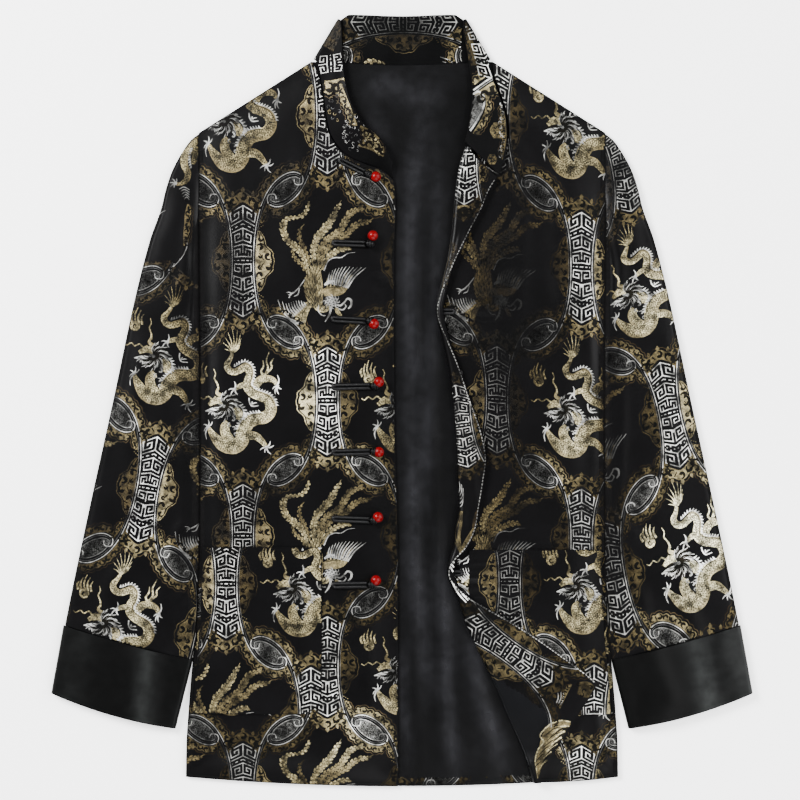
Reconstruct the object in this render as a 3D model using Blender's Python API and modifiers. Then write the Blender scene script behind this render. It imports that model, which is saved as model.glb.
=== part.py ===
"""Tang jacket in satin brocade, laid out flat and open, its left front turned back.

Metres, +Z up. +X is the wearer's left and +Y runs from the hem to the collar.
The back lies on z = 0, and the origin is on the floor under the middle of the jacket.
Tables and sizes are in millimetres, and meshes are scaled to metres when they are made.
"""

import math

import bmesh
import bpy
from mathutils import Vector

MM = 0.001

# Cloth
WALL = 2.0            # brocade with its interlining and lining
SEAM = 0.3            # between pieces that are sewn edge to edge
LAY = 0.5             # under a piece that lies on a panel
SIDE_GAP = 1.0        # between a sleeve and the side of the body beside it

# Body
SHOULDER_X, SHOULDER_Y = 213.5, 281.0
NECK_X, NECK_Y = 95.2, 355.8
HEM_SIDE_Y, HEM_SAG = -395.3, 10.0
LOFT = 2.2            # how far a front rides up off the back
LOFT_RAMP = 38.0      # from an edge to where it is fully up
FRONT_REST = WALL + SEAM + WALL / 2.0
FRONT_EDGE_X = -4.2
ROW_SPACING = 34.0    # longest step between two rows of a panel

# Turned-back front
FOLD_RADIUS = 2.45
FACING = 1.0
FACING_RISE = WALL / 2.0 + SEAM + FACING / 2.0
FOLD_REACH = FOLD_RADIUS + FACING_RISE + FACING / 2.0
LEAST_FLAP = 2.6

# Sleeves and cuffs
ARMHOLE_HEIGHT = 4.3
SLEEVE_HEIGHT = 7.6
CUFF_HEIGHT = 8.8
CUFF_PROUD = 1.6

# Collar
BAND = 2.5
CREASE_RADIUS = 1.8

# Patch pockets
POCKET = 1.4

# Frog buttons
STRAP_WIDTH, STRAP_HEIGHT = 8.0, 2.8
LOOP_WIDTH, LOOP_HEIGHT = 7.6, 1.9
BEAD_RADIUS = 5.5

# (y, half_width): the sides of the body, from the hem to the shoulder
BODY_SIDE = (
    (-395.3, 227.0),
    (-356.5, 226.5),
    (-314.5, 223.5),
    (-274.6, 220.0),
    (-251.5, 216.5),
    (-157.0, 213.0),
    (0.0, 212.0),
    (105.5, 213.0),
    (210.5, 214.0),
    (281.0, 213.5),
)

# (x, y): the top of the back, from the shoulder to the middle of the neck
BACK_TOP = (
    (-213.5, 281.0),
    (-174.0, 306.0),
    (-134.0, 331.5),
    (-95.2, 355.8),
    (-89.0, 355.9),
    (-84.0, 356.3),
    (-60.0, 354.6),
    (-28.0, 353.2),
    (0.0, 352.6),
)

# (side_y, edge_x, edge_y): right front, up its edge and then round the neck
FRONT_RIGHT_ROWS = (
    (-395.3, -4.2, -405.3),
    (-386.0, -4.2, -395.0),
    (-372.0, -4.2, -380.0),
    (-157.0, -4.2, -160.0),
    (0.0, -8.0, 0.0),
    (150.0, -8.4, 152.0),
    (215.8, -8.4, 230.5),
    (222.1, -22.1, 241.5),
    (227.3, -33.6, 246.2),
    (233.6, -50.4, 252.5),
    (241.0, -63.0, 260.4),
    (249.4, -74.5, 275.6),
    (257.8, -79.8, 294.5),
    (268.3, -84.0, 323.9),
    (276.0, -88.6, 346.0),
    (281.0, -95.2, 355.8),
)

# (side_y, fold_x, fold_y, free_x, free_y): left front, as far as its fold and turned back
FLAP_ROWS = (
    (-395.3, 137.6, -401.3, 146.0, -401.0),
    (-380.0, 131.5, -381.0, 155.0, -380.0),
    (-361.7, 123.9, -360.7, 163.8, -360.7),
    (-330.2, 110.2, -330.2, 183.8, -330.2),
    (-304.0, 99.8, -305.0, 200.6, -305.0),
    (-295.6, 95.5, -296.6, 204.8, -296.6),
    (-287.2, 91.4, -287.2, 195.3, -288.2),
    (-267.2, 81.9, -267.2, 167.0, -267.2),
    (-249.4, 73.5, -249.4, 141.8, -249.4),
    (-232.6, 66.2, -232.6, 115.5, -232.6),
    (-215.8, 60.9, -215.8, 86.1, -215.8),
    (-202.1, 54.6, -202.1, 66.2, -203.2),
    (-188.5, 48.8, -188.5, 52.5, -188.5),
    (-178.0, 47.2, -178.0, 50.4, -178.0),
    (-167.5, 49.4, -167.5, 55.7, -167.5),
    (-154.9, 53.6, -154.9, 67.2, -154.9),
    (-136.0, 55.7, -136.0, 76.7, -136.0),
    (-111.8, 59.9, -111.8, 80.9, -111.8),
    (-83.5, 57.8, -83.5, 85.6, -83.5),
    (-59.3, 57.8, -59.3, 88.2, -59.3),
    (-28.9, 56.2, -28.9, 81.9, -28.9),
    (0.5, 53.6, 0.5, 71.4, 0.5),
    (35.2, 48.3, 35.2, 59.9, 35.2),
    (63.5, 42.0, 63.5, 48.3, 63.5),
    (82.4, 37.3, 82.4, 40.4, 82.4),
    (97.1, 35.7, 97.1, 38.3, 97.1),
    (113.9, 38.9, 113.9, 43.1, 115.0),
    (142.3, 46.2, 142.3, 54.6, 143.3),
    (173.8, 51.5, 173.8, 69.3, 173.8),
    (202.1, 54.1, 202.1, 84.0, 202.1),
    (216.8, 55.7, 218.9, 91.4, 220.0),
    (224.2, 57.2, 231.5, 99.8, 233.6),
    (231.5, 60.9, 249.4, 84.0, 249.4),
    (239.9, 66.2, 265.5, 68.8, 265.1),
)

# (side_y, edge_x, edge_y): left front above its fold, round the neck
NECK_LEFT_ROWS = (
    (245.2, 91.4, 266.2),
    (250.4, 105.0, 268.3),
    (255.7, 111.8, 275.6),
    (260.9, 111.3, 294.5),
    (266.2, 107.1, 311.3),
    (270.4, 102.9, 323.9),
    (275.6, 97.0, 342.8),
    (281.0, 95.2, 355.8),
)

# (outer_x, outer_y, inner_y, height): sections of a sleeve, from the armhole to the cuff
SLEEVE_ROWS = (
    (SHOULDER_X + SEAM, 280.0, 198.0, ARMHOLE_HEIGHT),
    (222.0, 273.5, 190.0, 5.2),
    (233.5, 256.7, 184.0, 6.2),
    (242.0, 240.0, 178.0, 7.0),
    (247.8, 223.0, 170.0, 7.4),
    (253.5, 200.0, 158.0, SLEEVE_HEIGHT),
    (264.8, 168.5, 136.0, SLEEVE_HEIGHT),
    (281.0, 105.5, 82.0, SLEEVE_HEIGHT),
    (303.4, 0.5, -22.0, SLEEVE_HEIGHT),
    (326.6, -104.5, -131.0, SLEEVE_HEIGHT),
    (344.5, -188.5, -220.0, SLEEVE_HEIGHT),
    (354.0, -235.7, -272.0, SLEEVE_HEIGHT),
)

# (outer_x, outer_y, inner_x, inner_y): the open end of a cuff
CUFF_END = (368.4, -307.1, 237.6, -344.4)
SLEEVE_BOW, CUFF_BOW = 2.0, 4.7

# (seam_x, seam_y, seam_z, rim_x, rim_y, rim_z): stations of the collar band
COLLAR_RIGHT_END = (
    (-9.2, 232.3, 3.8, -11.0, 249.4, 9.0),
    (-13.7, 236.6, 4.0, -21.0, 272.5, 16.0),
    (-22.1, 243.3, 4.6, -34.6, 284.0, 17.0),
    (-33.6, 247.9, 5.2, -43.1, 292.4, 16.0),
    (-49.4, 254.0, 5.5, -49.9, 305.0, 14.0),
    (-61.5, 262.0, 5.5, -54.8, 316.1, 12.0),
    (-73.1, 276.9, 5.5, -58.6, 330.2, 10.5),
    (-78.3, 295.1, 5.5, -61.1, 346.0, 9.5),
    (-82.4, 323.9, 5.4, -62.8, 370.7, 8.4),
    (-86.6, 346.0, 5.3, -63.4, 391.0, 7.2),
)
COLLAR_BACK = (
    (-84.0, 357.2, 1.7, -56.5, 405.4, 2.4),
    (-60.0, 355.5, 1.6, -36.0, 404.8, 3.2),
    (-28.0, 354.1, 1.6, -17.0, 403.9, 3.8),
    (0.0, 353.5, 1.6, 0.0, 403.6, 4.0),
    (28.0, 354.1, 1.6, 17.0, 403.9, 3.8),
    (60.0, 355.5, 1.6, 36.0, 404.8, 3.2),
    (84.0, 357.2, 1.7, 56.5, 405.4, 2.4),
)
COLLAR_LEFT_END = (
    (92.4, 347.0, 5.3, 63.9, 391.0, 7.2),
    (95.1, 338.0, 5.6, 66.4, 376.0, 8.0),
    (101.0, 322.0, 5.9, 69.5, 357.5, 9.0),
    (105.2, 309.0, 6.4, 72.5, 338.6, 10.0),
    (109.0, 293.5, 7.3, 73.5, 319.7, 11.5),
    (109.8, 275.6, 8.4, 71.9, 300.8, 13.5),
    (108.2, 255.7, 8.8, 68.8, 283.0, 15.5),
    (101.6, 237.3, 9.0, 65.9, 270.6, 17.0),
)
# (seam_x, seam_y, seam_z, rim_x, rim_y, rim_z): the sharp fold at each side of the neck
COLLAR_CREASE = (91.9, 357.8, 3.5, 64.6, 403.2, 4.3)

# (y, left_x, right_x): a patch pocket, from its mouth down
POCKET_RIGHT_ROWS = (
    (-154.0, -209.5, -84.0),
    (-176.0, -210.0, -84.0),
    (-230.0, -211.5, -84.0),
    (-285.0, -216.5, -84.0),
    (-309.0, -218.5, -84.5),
    (-322.0, -219.5, -90.0),
    (-329.0, -220.0, -101.0),
)
POCKET_LEFT_ROWS = (
    (-156.5, 70.4, 209.5),
    (-176.0, 70.4, 210.0),
    (-214.0, 70.6, 211.0),
    (-230.0, 74.5, 211.5),
    (-250.0, 83.0, 212.5),
    (-268.0, 91.0, 214.5),
    (-288.0, 101.0, 216.5),
    (-309.0, 111.0, 218.5),
    (-322.0, 117.0, 219.5),
    (-330.0, 121.0, 220.0),
)

# (start_x, start_y, end_x, end_y, bead_x, bead_y): frog straps on the right front
STRAPS = (
    (-65.6, 252.4, -38.8, 238.8, -27.4, 234.4),
    (-72.5, 165.4, -37.8, 164.3, -30.5, 172.7),
    (-73.5, 85.6, -37.3, 83.5, -29.4, 80.3),
    (-72.5, 14.2, -32.6, 15.2, -24.2, 19.4),
    (-72.5, -54.6, -32.6, -53.6, -24.2, -54.1),
    (-72.5, -123.9, -33.6, -125.5, -25.2, -122.3),
    (-72.5, -193.7, -35.7, -193.2, -27.3, -188.5),
)

# (y, length): frog loops on the left front, under its turned-back edge
LOOPS = (
    (222.0, 24.0),
    (162.0, 8.0),
    (93.5, 13.0),
    (29.0, 7.0),
    (-43.0, 21.0),
    (-112.0, 14.0),
    (-181.0, 10.0),
)

# (across, up): a strap of two cords side by side, in half widths and heights
STRAP_SECTION = (
    (-1.0, 0.40),
    (-0.80, 0.0),
    (0.80, 0.0),
    (1.0, 0.40),
    (0.82, 0.84),
    (0.50, 1.0),
    (0.0, 0.66),
    (-0.50, 1.0),
    (-0.82, 0.84),
)
# (along, size): a strap's stations, rounded off at both ends
STRAP_STATIONS = ((0.0, 0.55), (0.06, 0.92), (0.14, 1.0), (0.5, 1.0), (0.86, 1.0), (0.94, 0.92), (1.0, 0.55))

# Where the columns of a panel lie, from its side seam to its other edge
PANEL_COLUMNS = (0.0, 0.035, 0.08, 0.14, 0.24, 0.38, 0.54, 0.70, 0.82, 0.90, 0.96, 1.0)
FOLD_STEPS = 6
FLAP_COLUMNS = (0.25, 0.5, 0.75, 1.0)
BAND_COLUMNS = (0.0, 0.25, 0.5, 0.75, 1.0)
POCKET_COLUMNS = (0.0, 0.08, 0.2, 0.4, 0.6, 0.8, 1.0)

# name: (colour, roughness, metallic)
MATERIALS = {
    "brocade": ((0.030, 0.027, 0.026), 0.42, 0.0),
    "facing": ((0.060, 0.050, 0.038), 0.42, 0.0),
    "satin": ((0.012, 0.012, 0.013), 0.34, 0.0),
    "cord": ((0.008, 0.008, 0.009), 0.48, 0.0),
    "bead": ((0.55, 0.015, 0.015), 0.18, 0.0),
}


def mix(start, end, share):
    """The value, or the tuple of values, a share of the way from start to end."""
    if isinstance(start, tuple):
        return tuple(a + (b - a) * share for a, b in zip(start, end))
    return start + (end - start) * share


def smooth(share):
    """Ease from 0 to 1 with level ends."""
    share = min(1.0, max(0.0, share))
    return share * share * (3.0 - 2.0 * share)


def look_up(table, key):
    """Second column of a table at a key in its first column, which rises."""
    key = min(table[-1][0], max(table[0][0], key))
    for low, high in zip(table, table[1:]):
        if key <= high[0]:
            return mix(low[1], high[1], (key - low[0]) / (high[0] - low[0]))
    return table[-1][1]


def fill_rows(rows):
    """The rows, with more between those that lie far apart."""
    filled = [rows[0]]
    for low, high in zip(rows, rows[1:]):
        steps = max(1, math.ceil(abs(high[0] - low[0]) / ROW_SPACING))
        filled += [mix(low, high, step / steps) for step in range(1, steps + 1)]
    return filled


def hem_y(x):
    half = BODY_SIDE[0][1]
    return HEM_SIDE_Y - HEM_SAG * (1.0 - (x / half) ** 2)


def shoulder_y(x):
    share = (SHOULDER_X - abs(x)) / (SHOULDER_X - NECK_X)
    return mix(SHOULDER_Y, NECK_Y, min(1.0, share))


def front_mid(x, y):
    """Height of the middle of a front's wall: down at its outer edges, up in its middle."""
    inset = min(look_up(BODY_SIDE, y) - abs(x), y - hem_y(x), 0.85 * (shoulder_y(x) - y))
    if x < 0.0:
        inset = min(inset, FRONT_EDGE_X - x)
    return FRONT_REST + LOFT * smooth(inset / LOFT_RAMP)


def front_top(x, y):
    return front_mid(x, y) + WALL / 2.0


def panel_row(side_y, side, edge_x, edge_y):
    """Points (x, y) of one row of a front, from its side seam to its edge."""
    side_x = side * look_up(BODY_SIDE, side_y)
    sag = min(1.0, max(0.0, -side_y / 200.0))
    points = []
    for share in PANEL_COLUMNS:
        curved = mix(share, 1.0 - (1.0 - share) ** 2, sag)
        points.append((mix(side_x, edge_x, share), mix(side_y, edge_y, curved)))
    return points


def material(name):
    if name in bpy.data.materials:
        return bpy.data.materials[name]
    colour, roughness, metallic = MATERIALS[name]
    made = bpy.data.materials.new(name)
    made.use_nodes = True
    shader = made.node_tree.nodes["Principled BSDF"]
    shader.inputs["Base Color"].default_value = (*colour, 1.0)
    shader.inputs["Roughness"].default_value = roughness
    shader.inputs["Metallic"].default_value = metallic
    return made


def add_object(name, mesh, finish, collection):
    mesh.materials.append(material(finish))
    made = bpy.data.objects.new(name, mesh)
    collection.objects.link(made)
    return made


def grid_mesh(name, grids):
    """One open surface from grids of points, which share the points where they meet."""
    mesh = bpy.data.meshes.new(name)
    shape = bmesh.new()
    for rows in grids:
        verts = [[shape.verts.new(Vector(point) * MM) for point in row] for row in rows]
        for low, high in zip(verts, verts[1:]):
            for a, b, c, d in zip(low, low[1:], high[1:], high):
                shape.faces.new((a, b, c, d))
    bmesh.ops.remove_doubles(shape, verts=shape.verts, dist=0.00001)
    bmesh.ops.recalc_face_normals(shape, faces=shape.faces)
    shape.to_mesh(mesh)
    shape.free()
    return mesh


def sheet(name, grids, thickness, finish, collection):
    """A wall of cloth, centred on its surface."""
    made = add_object(name, grid_mesh(name, grids), finish, collection)
    solidify = made.modifiers.new("wall", "SOLIDIFY")
    solidify.thickness = thickness * MM
    solidify.offset = 0.0
    solidify.use_even_offset = True
    return made


def ring_loft(name, outer, finish, collection, inner=None):
    """A closed loft through rings: hollow and open at both ends where it has inner rings."""
    mesh = bpy.data.meshes.new(name)
    shape = bmesh.new()
    skins = []
    for rings in (outer, inner or []):
        skin = [[shape.verts.new(Vector(point) * MM) for point in ring] for ring in rings]
        skins.append(skin)
        for low, high in zip(skin, skin[1:]):
            for a, b, c, d in zip(low, low[1:] + low[:1], high[1:] + high[:1], high):
                shape.faces.new((a, b, c, d))
    for end in (0, -1):
        if inner:
            out, back = skins[0][end], skins[1][end]
            for a, b, c, d in zip(out, out[1:] + out[:1], back[1:] + back[:1], back):
                shape.faces.new((a, b, c, d))
        else:
            shape.faces.new(skins[0][end])
    bmesh.ops.recalc_face_normals(shape, faces=shape.faces)
    shape.to_mesh(mesh)
    shape.free()
    return add_object(name, mesh, finish, collection)


def build_back(collection):
    """One panel from the hem to the shoulders, flat on the floor."""
    half_top = [(x, y) for x, y in BACK_TOP]
    top = half_top + [(-x, y) for x, y in reversed(half_top[:-1])]
    rows = []
    steps = 20
    for step in range(steps + 1):
        row = []
        for x_top, y_top in top:
            x_hem = x_top * BODY_SIDE[0][1] / SHOULDER_X
            y = mix(hem_y(x_hem), y_top, step / steps)
            row.append((x_top * look_up(BODY_SIDE, y) / SHOULDER_X, y, WALL / 2.0))
        rows.append(row)
    sheet("back", [rows], WALL, "brocade", collection)


def build_front_right(collection):
    rows = []
    for side_y, edge_x, edge_y in fill_rows(FRONT_RIGHT_ROWS):
        points = panel_row(side_y, -1.0, edge_x, edge_y)
        rows.append([(x, y, front_mid(x, y)) for x, y in points])
    sheet("front_right", [rows], WALL, "brocade", collection)


def flap_row(fold_x, fold_y, free_x, free_y, rise, from_angle):
    """Round the fold and out along the turned-back flap, rise above the middle of its wall."""
    centre_x = fold_x + FOLD_REACH
    free_x = max(free_x, centre_x + LEAST_FLAP)
    low = front_mid(centre_x, fold_y)
    radius = FOLD_RADIUS + rise
    points = []
    for step in range(FOLD_STEPS + 1):
        angle = math.radians(mix(from_angle, 90.0, step / FOLD_STEPS))
        z = low + FOLD_RADIUS + radius * math.sin(angle)
        points.append((centre_x - radius * math.cos(angle), fold_y, z))
    for share in FLAP_COLUMNS:
        x, y = mix(centre_x, free_x, share), mix(fold_y, free_y, share)
        points.append((x, y, front_mid(x, y) + 2.0 * FOLD_RADIUS + rise))
    return points


def build_front_left(collection):
    """The left front with its edge turned back, and the facing that this shows."""
    lower, flap, facing = [], [], []
    for side_y, fold_x, fold_y, free_x, free_y in fill_rows(FLAP_ROWS):
        points = panel_row(side_y, 1.0, fold_x + FOLD_REACH, fold_y)
        lower.append([(x, y, front_mid(x, y)) for x, y in points])
        flap.append(flap_row(fold_x, fold_y, free_x, free_y, 0.0, -90.0))
        facing.append(flap_row(fold_x, fold_y, free_x - SEAM, free_y, FACING_RISE, -10.0))
    for side_y, edge_x, edge_y in NECK_LEFT_ROWS:
        points = panel_row(side_y, 1.0, edge_x, edge_y)
        lower.append([(x, y, front_mid(x, y)) for x, y in points])
    sheet("front_left", [lower, flap], WALL, "brocade", collection)
    sheet("facing_left", [facing], FACING, "facing", collection)


def tube_section(outer, inner, height, inset, bow, along):
    """A flattened ring from an outer to an inner point, lying on the floor, inset by a wall."""
    outer, inner = Vector(outer), Vector(inner)
    across = (inner - outer).normalized()
    width = (inner - outer).length
    half = height / 2.0
    radius = half - inset
    ring = []
    for end, first_angle in ((half, 90.0), (width - half, 270.0)):
        for step in range(5):
            angle = math.radians(first_angle + 45.0 * step)
            ring.append((end + radius * math.cos(angle), half + radius * math.sin(angle)))
        if end == half:
            ring += [(width * share, inset) for share in (0.25, 0.5, 0.75)]
        else:
            ring += [(width * share, height - inset) for share in (0.75, 0.5, 0.25)]
    points = []
    for reach, z in ring:
        share = reach / width
        place = outer + across * reach + along * (bow * 4.0 * share * (1.0 - share))
        points.append((place.x, place.y, z))
    return points


def sleeve_sections():
    """(outer, inner, height) of each section of the left sleeve."""
    sections = []
    for x, y, inner_y, height in SLEEVE_ROWS:
        gap = SIDE_GAP if sections else SEAM
        sections.append(((x, y), (look_up(BODY_SIDE, inner_y) + gap, inner_y), height))
    return sections


def mirrored(rings, side):
    return [[(side * x, y, z) for x, y, z in ring] for ring in rings]


def tube(name, sections, along, finish, side, collection):
    """A flattened tube of cloth through (outer, inner, height, bow) sections."""
    skins = []
    for inset in (0.0, WALL):
        rings = [tube_section(outer, inner, height, inset, bow, along)
                 for outer, inner, height, bow in sections]
        skins.append(mirrored(rings, side))
    ring_loft(name, skins[0], finish, collection, inner=skins[1])


def build_sleeve(name_end, side, collection):
    """A set-in sleeve beside the body, and the plain satin cuff on its end."""
    sections = sleeve_sections()
    outer, inner, _ = sections[-1]
    end_outer, end_inner = CUFF_END[:2], CUFF_END[2:]
    along = (Vector(end_outer) - Vector(outer)).normalized()
    cloth = [(o, i, height, SLEEVE_BOW * (index == len(sections) - 1))
             for index, (o, i, height) in enumerate(sections)]
    tube("sleeve_" + name_end, cloth, along, "brocade", side, collection)

    start_outer = Vector(outer) + along * SEAM + Vector((CUFF_PROUD, 0.0))
    start_inner = Vector(inner) + along * SEAM
    middle = [Vector(start_outer).lerp(end_outer, 0.5), Vector(start_inner).lerp(end_inner, 0.5)]
    satin = [
        (start_outer, start_inner, CUFF_HEIGHT, SLEEVE_BOW),
        (middle[0], middle[1], CUFF_HEIGHT, (SLEEVE_BOW + CUFF_BOW) / 2.0),
        (end_outer, end_inner, CUFF_HEIGHT, CUFF_BOW),
    ]
    tube("cuff_" + name_end, satin, along, "satin", side, collection)


def crease_stations(side):
    """Stations round the sharp fold of the collar, from its front layer to its back layer."""
    seam = Vector((side * COLLAR_CREASE[0], *COLLAR_CREASE[1:3]))
    rim = Vector((side * COLLAR_CREASE[3], *COLLAR_CREASE[4:6]))
    fold = (rim - seam).normalized()
    inward = Vector((-side * abs(fold.y), -abs(fold.x), 0.0))
    stations = []
    for angle in (90.0, 45.0, 0.0, -45.0, -90.0):
        turn = math.radians(angle)
        shift = inward * (CREASE_RADIUS * (1.0 - math.cos(turn)))
        shift.z = CREASE_RADIUS * math.sin(turn)
        stations.append((*(seam + shift), *(rim + shift)))
    return stations


def build_collar(collection):
    """One stand-up band, pressed flat: round the neck from the right end to the left one."""
    stations = [*COLLAR_RIGHT_END, *crease_stations(-1.0), *COLLAR_BACK,
                *reversed(crease_stations(1.0)), *COLLAR_LEFT_END]
    rows = []
    for station in stations:
        seam, rim = tuple(station[:3]), tuple(station[3:])
        rows.append([mix(seam, rim, share) for share in BAND_COLUMNS])
    sheet("collar", [rows], BAND, "brocade", collection)


def build_pocket(name, pocket_rows, collection):
    """A patch pocket that lies on its front and follows it."""
    rows = []
    for y, left_x, right_x in fill_rows(pocket_rows):
        row = []
        for share in POCKET_COLUMNS:
            x = mix(left_x, right_x, share)
            row.append((x, y, front_top(x, y) + LAY + POCKET / 2.0))
        rows.append(row)
    sheet(name, [rows], POCKET, "brocade", collection)


def build_strap(name, start, end, width, height, collection):
    """Two satin cords side by side, sewn down on a front."""
    start, end = Vector(start), Vector(end)
    along = (end - start).normalized()
    across = Vector((-along.y, along.x))
    rings = []
    for share, size in STRAP_STATIONS:
        centre = start.lerp(end, share)
        edges = [centre + across * (width / 2.0 * lean) for lean in (-1.0, 0.0, 1.0)]
        base = max(front_top(place.x, place.y) for place in edges) + LAY
        ring = []
        for lean, up in STRAP_SECTION:
            place = centre + across * (width / 2.0 * lean * size)
            ring.append((place.x, place.y, base + height * up * size))
        rings.append(ring)
    ring_loft(name, rings, "cord", collection)


def build_bead(name, x, y, collection):
    """A round glass bead that lies on the front by its strap's end."""
    mesh = bpy.data.meshes.new(name)
    shape = bmesh.new()
    bmesh.ops.create_uvsphere(shape, u_segments=14, v_segments=9, radius=BEAD_RADIUS * MM)
    shape.to_mesh(mesh)
    shape.free()
    mesh.shade_smooth()
    made = add_object(name, mesh, "bead", collection)
    ground = max(front_top(x + step, y) for step in (-1.5, 0.0, 1.5))
    made.location = Vector((x, y, ground + LAY + BEAD_RADIUS)) * MM


def build_frogs(collection):
    """Seven frog buttons: strap and bead on the right front, loop on the left one."""
    for number, row in enumerate(STRAPS, start=1):
        start_x, start_y, end_x, end_y, bead_x, bead_y = row
        name = "strap_%d" % number
        build_strap(name, (start_x, start_y), (end_x, end_y), STRAP_WIDTH, STRAP_HEIGHT, collection)
        build_bead("bead_%d" % number, bead_x, bead_y, collection)
    folds = [(row[0], row[1]) for row in FLAP_ROWS]
    for number, (y, length) in enumerate(LOOPS, start=1):
        x = look_up(folds, y) + FOLD_REACH + 1.0
        name = "loop_%d" % number
        build_strap(name, (x, y), (x + length, y), LOOP_WIDTH, LOOP_HEIGHT, collection)


def build():
    for leftover in list(bpy.data.objects):
        bpy.data.objects.remove(leftover)
    collection = bpy.data.collections.new("tang_jacket")
    bpy.context.scene.collection.children.link(collection)
    build_back(collection)
    build_front_right(collection)
    build_front_left(collection)
    build_sleeve("right", -1.0, collection)
    build_sleeve("left", 1.0, collection)
    build_collar(collection)
    build_pocket("pocket_right", POCKET_RIGHT_ROWS, collection)
    build_pocket("pocket_left", POCKET_LEFT_ROWS, collection)
    build_frogs(collection)


build()
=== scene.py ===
import math

import bmesh
import bpy
import numpy as np
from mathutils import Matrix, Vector, noise
from mathutils.bvhtree import BVHTree


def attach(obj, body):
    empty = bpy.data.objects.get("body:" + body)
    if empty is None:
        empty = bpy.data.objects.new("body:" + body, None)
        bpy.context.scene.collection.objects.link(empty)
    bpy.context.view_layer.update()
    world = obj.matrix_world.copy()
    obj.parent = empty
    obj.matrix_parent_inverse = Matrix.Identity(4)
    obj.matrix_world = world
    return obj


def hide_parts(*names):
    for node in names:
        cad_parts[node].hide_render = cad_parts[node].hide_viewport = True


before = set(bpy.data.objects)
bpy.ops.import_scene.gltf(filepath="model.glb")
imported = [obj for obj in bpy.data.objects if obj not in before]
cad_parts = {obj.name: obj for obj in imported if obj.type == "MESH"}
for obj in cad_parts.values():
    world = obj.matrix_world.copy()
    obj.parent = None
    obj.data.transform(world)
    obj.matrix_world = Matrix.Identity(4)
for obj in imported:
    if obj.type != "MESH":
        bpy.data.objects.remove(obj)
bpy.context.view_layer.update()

# Tables are in millimetres (+X the wearer's left, +Y to the collar), or in steps of the
# woven pattern's draft: a step is 1.05 mm, counted to the right and down the cloth.
MM = 0.001
STEP = 1.05
DRAFT_X, DRAFT_Y = 402, 400.5


def plan(points):
    """Draft places (right, down) as millimetres (x, y)."""
    points = np.asarray(points, float)
    return np.stack([(points[..., 0] - DRAFT_X) * STEP, (DRAFT_Y - points[..., 1]) * STEP], -1)


def plan_steps(points):
    """Millimetres (x, y) as draft places (right, down)."""
    points = np.asarray(points, float)
    return np.stack([DRAFT_X + points[..., 0] / STEP, DRAFT_Y - points[..., 1] / STEP], -1)


# ---------------------------------------------------------------- sizes of the cloth
WALL, SEAM = 2, 0.3
SHOULDER_X, SHOULDER_Y = 213.5, 281
NECK_X, NECK_Y = 95.2, 355.8
HEM_SIDE_Y, HEM_SAG = -395.3, 10
LOFT, LOFT_RAMP = 2.2, 38
FRONT_REST = WALL + SEAM + WALL / 2
FRONT_EDGE_X = -4.2
FOLD_RADIUS, FACING = 2.45, 1
FACING_RISE = WALL / 2 + SEAM + FACING / 2
FOLD_REACH = FOLD_RADIUS + FACING_RISE + FACING / 2
LEAST_FLAP = 2.6
BAND, CREASE_RADIUS = 2.5, 1.8
POCKET, LAY = 1.4, 0.5
BEAD_RADIUS, HOLE_TURN = 5.5, 0.16
CORD_RADIUS = 1.9
KNOT_RADIUS, KNOT_REACH, KNOT_CORD, KNOT_TURNS = 3.4, 4.4, 1.25, 9

# (y, half_width)
BODY_SIDE = np.array([
    (-395.3, 227), (-356.5, 226.5), (-314.5, 223.5), (-274.6, 220), (-251.5, 216.5), (-157, 213),
    (0, 212), (105.5, 213), (210.5, 214), (281, 213.5),
])
# (x, y): the top of the back, from a shoulder to the middle of the neck
BACK_TOP = np.array([
    (-213.5, 281), (-174, 306), (-134, 331.5), (-95.2, 355.8), (-89, 355.9), (-84, 356.3),
    (-60, 354.6), (-28, 353.2), (0, 352.6),
])
# (side_y, edge_x, edge_y)
FRONT_RIGHT_ROWS = np.array([
    (-395.3, -4.2, -405.3), (-386, -4.2, -395), (-372, -4.2, -380), (-157, -4.2, -160), (0, -8, 0),
    (150, -8.4, 152), (215.8, -8.4, 230.5), (222.1, -22.1, 241.5), (227.3, -33.6, 246.2),
    (233.6, -50.4, 252.5), (241, -63, 260.4), (249.4, -74.5, 275.6), (257.8, -79.8, 294.5),
    (268.3, -84, 323.9), (276, -88.6, 346), (281, -95.2, 355.8),
])
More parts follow.
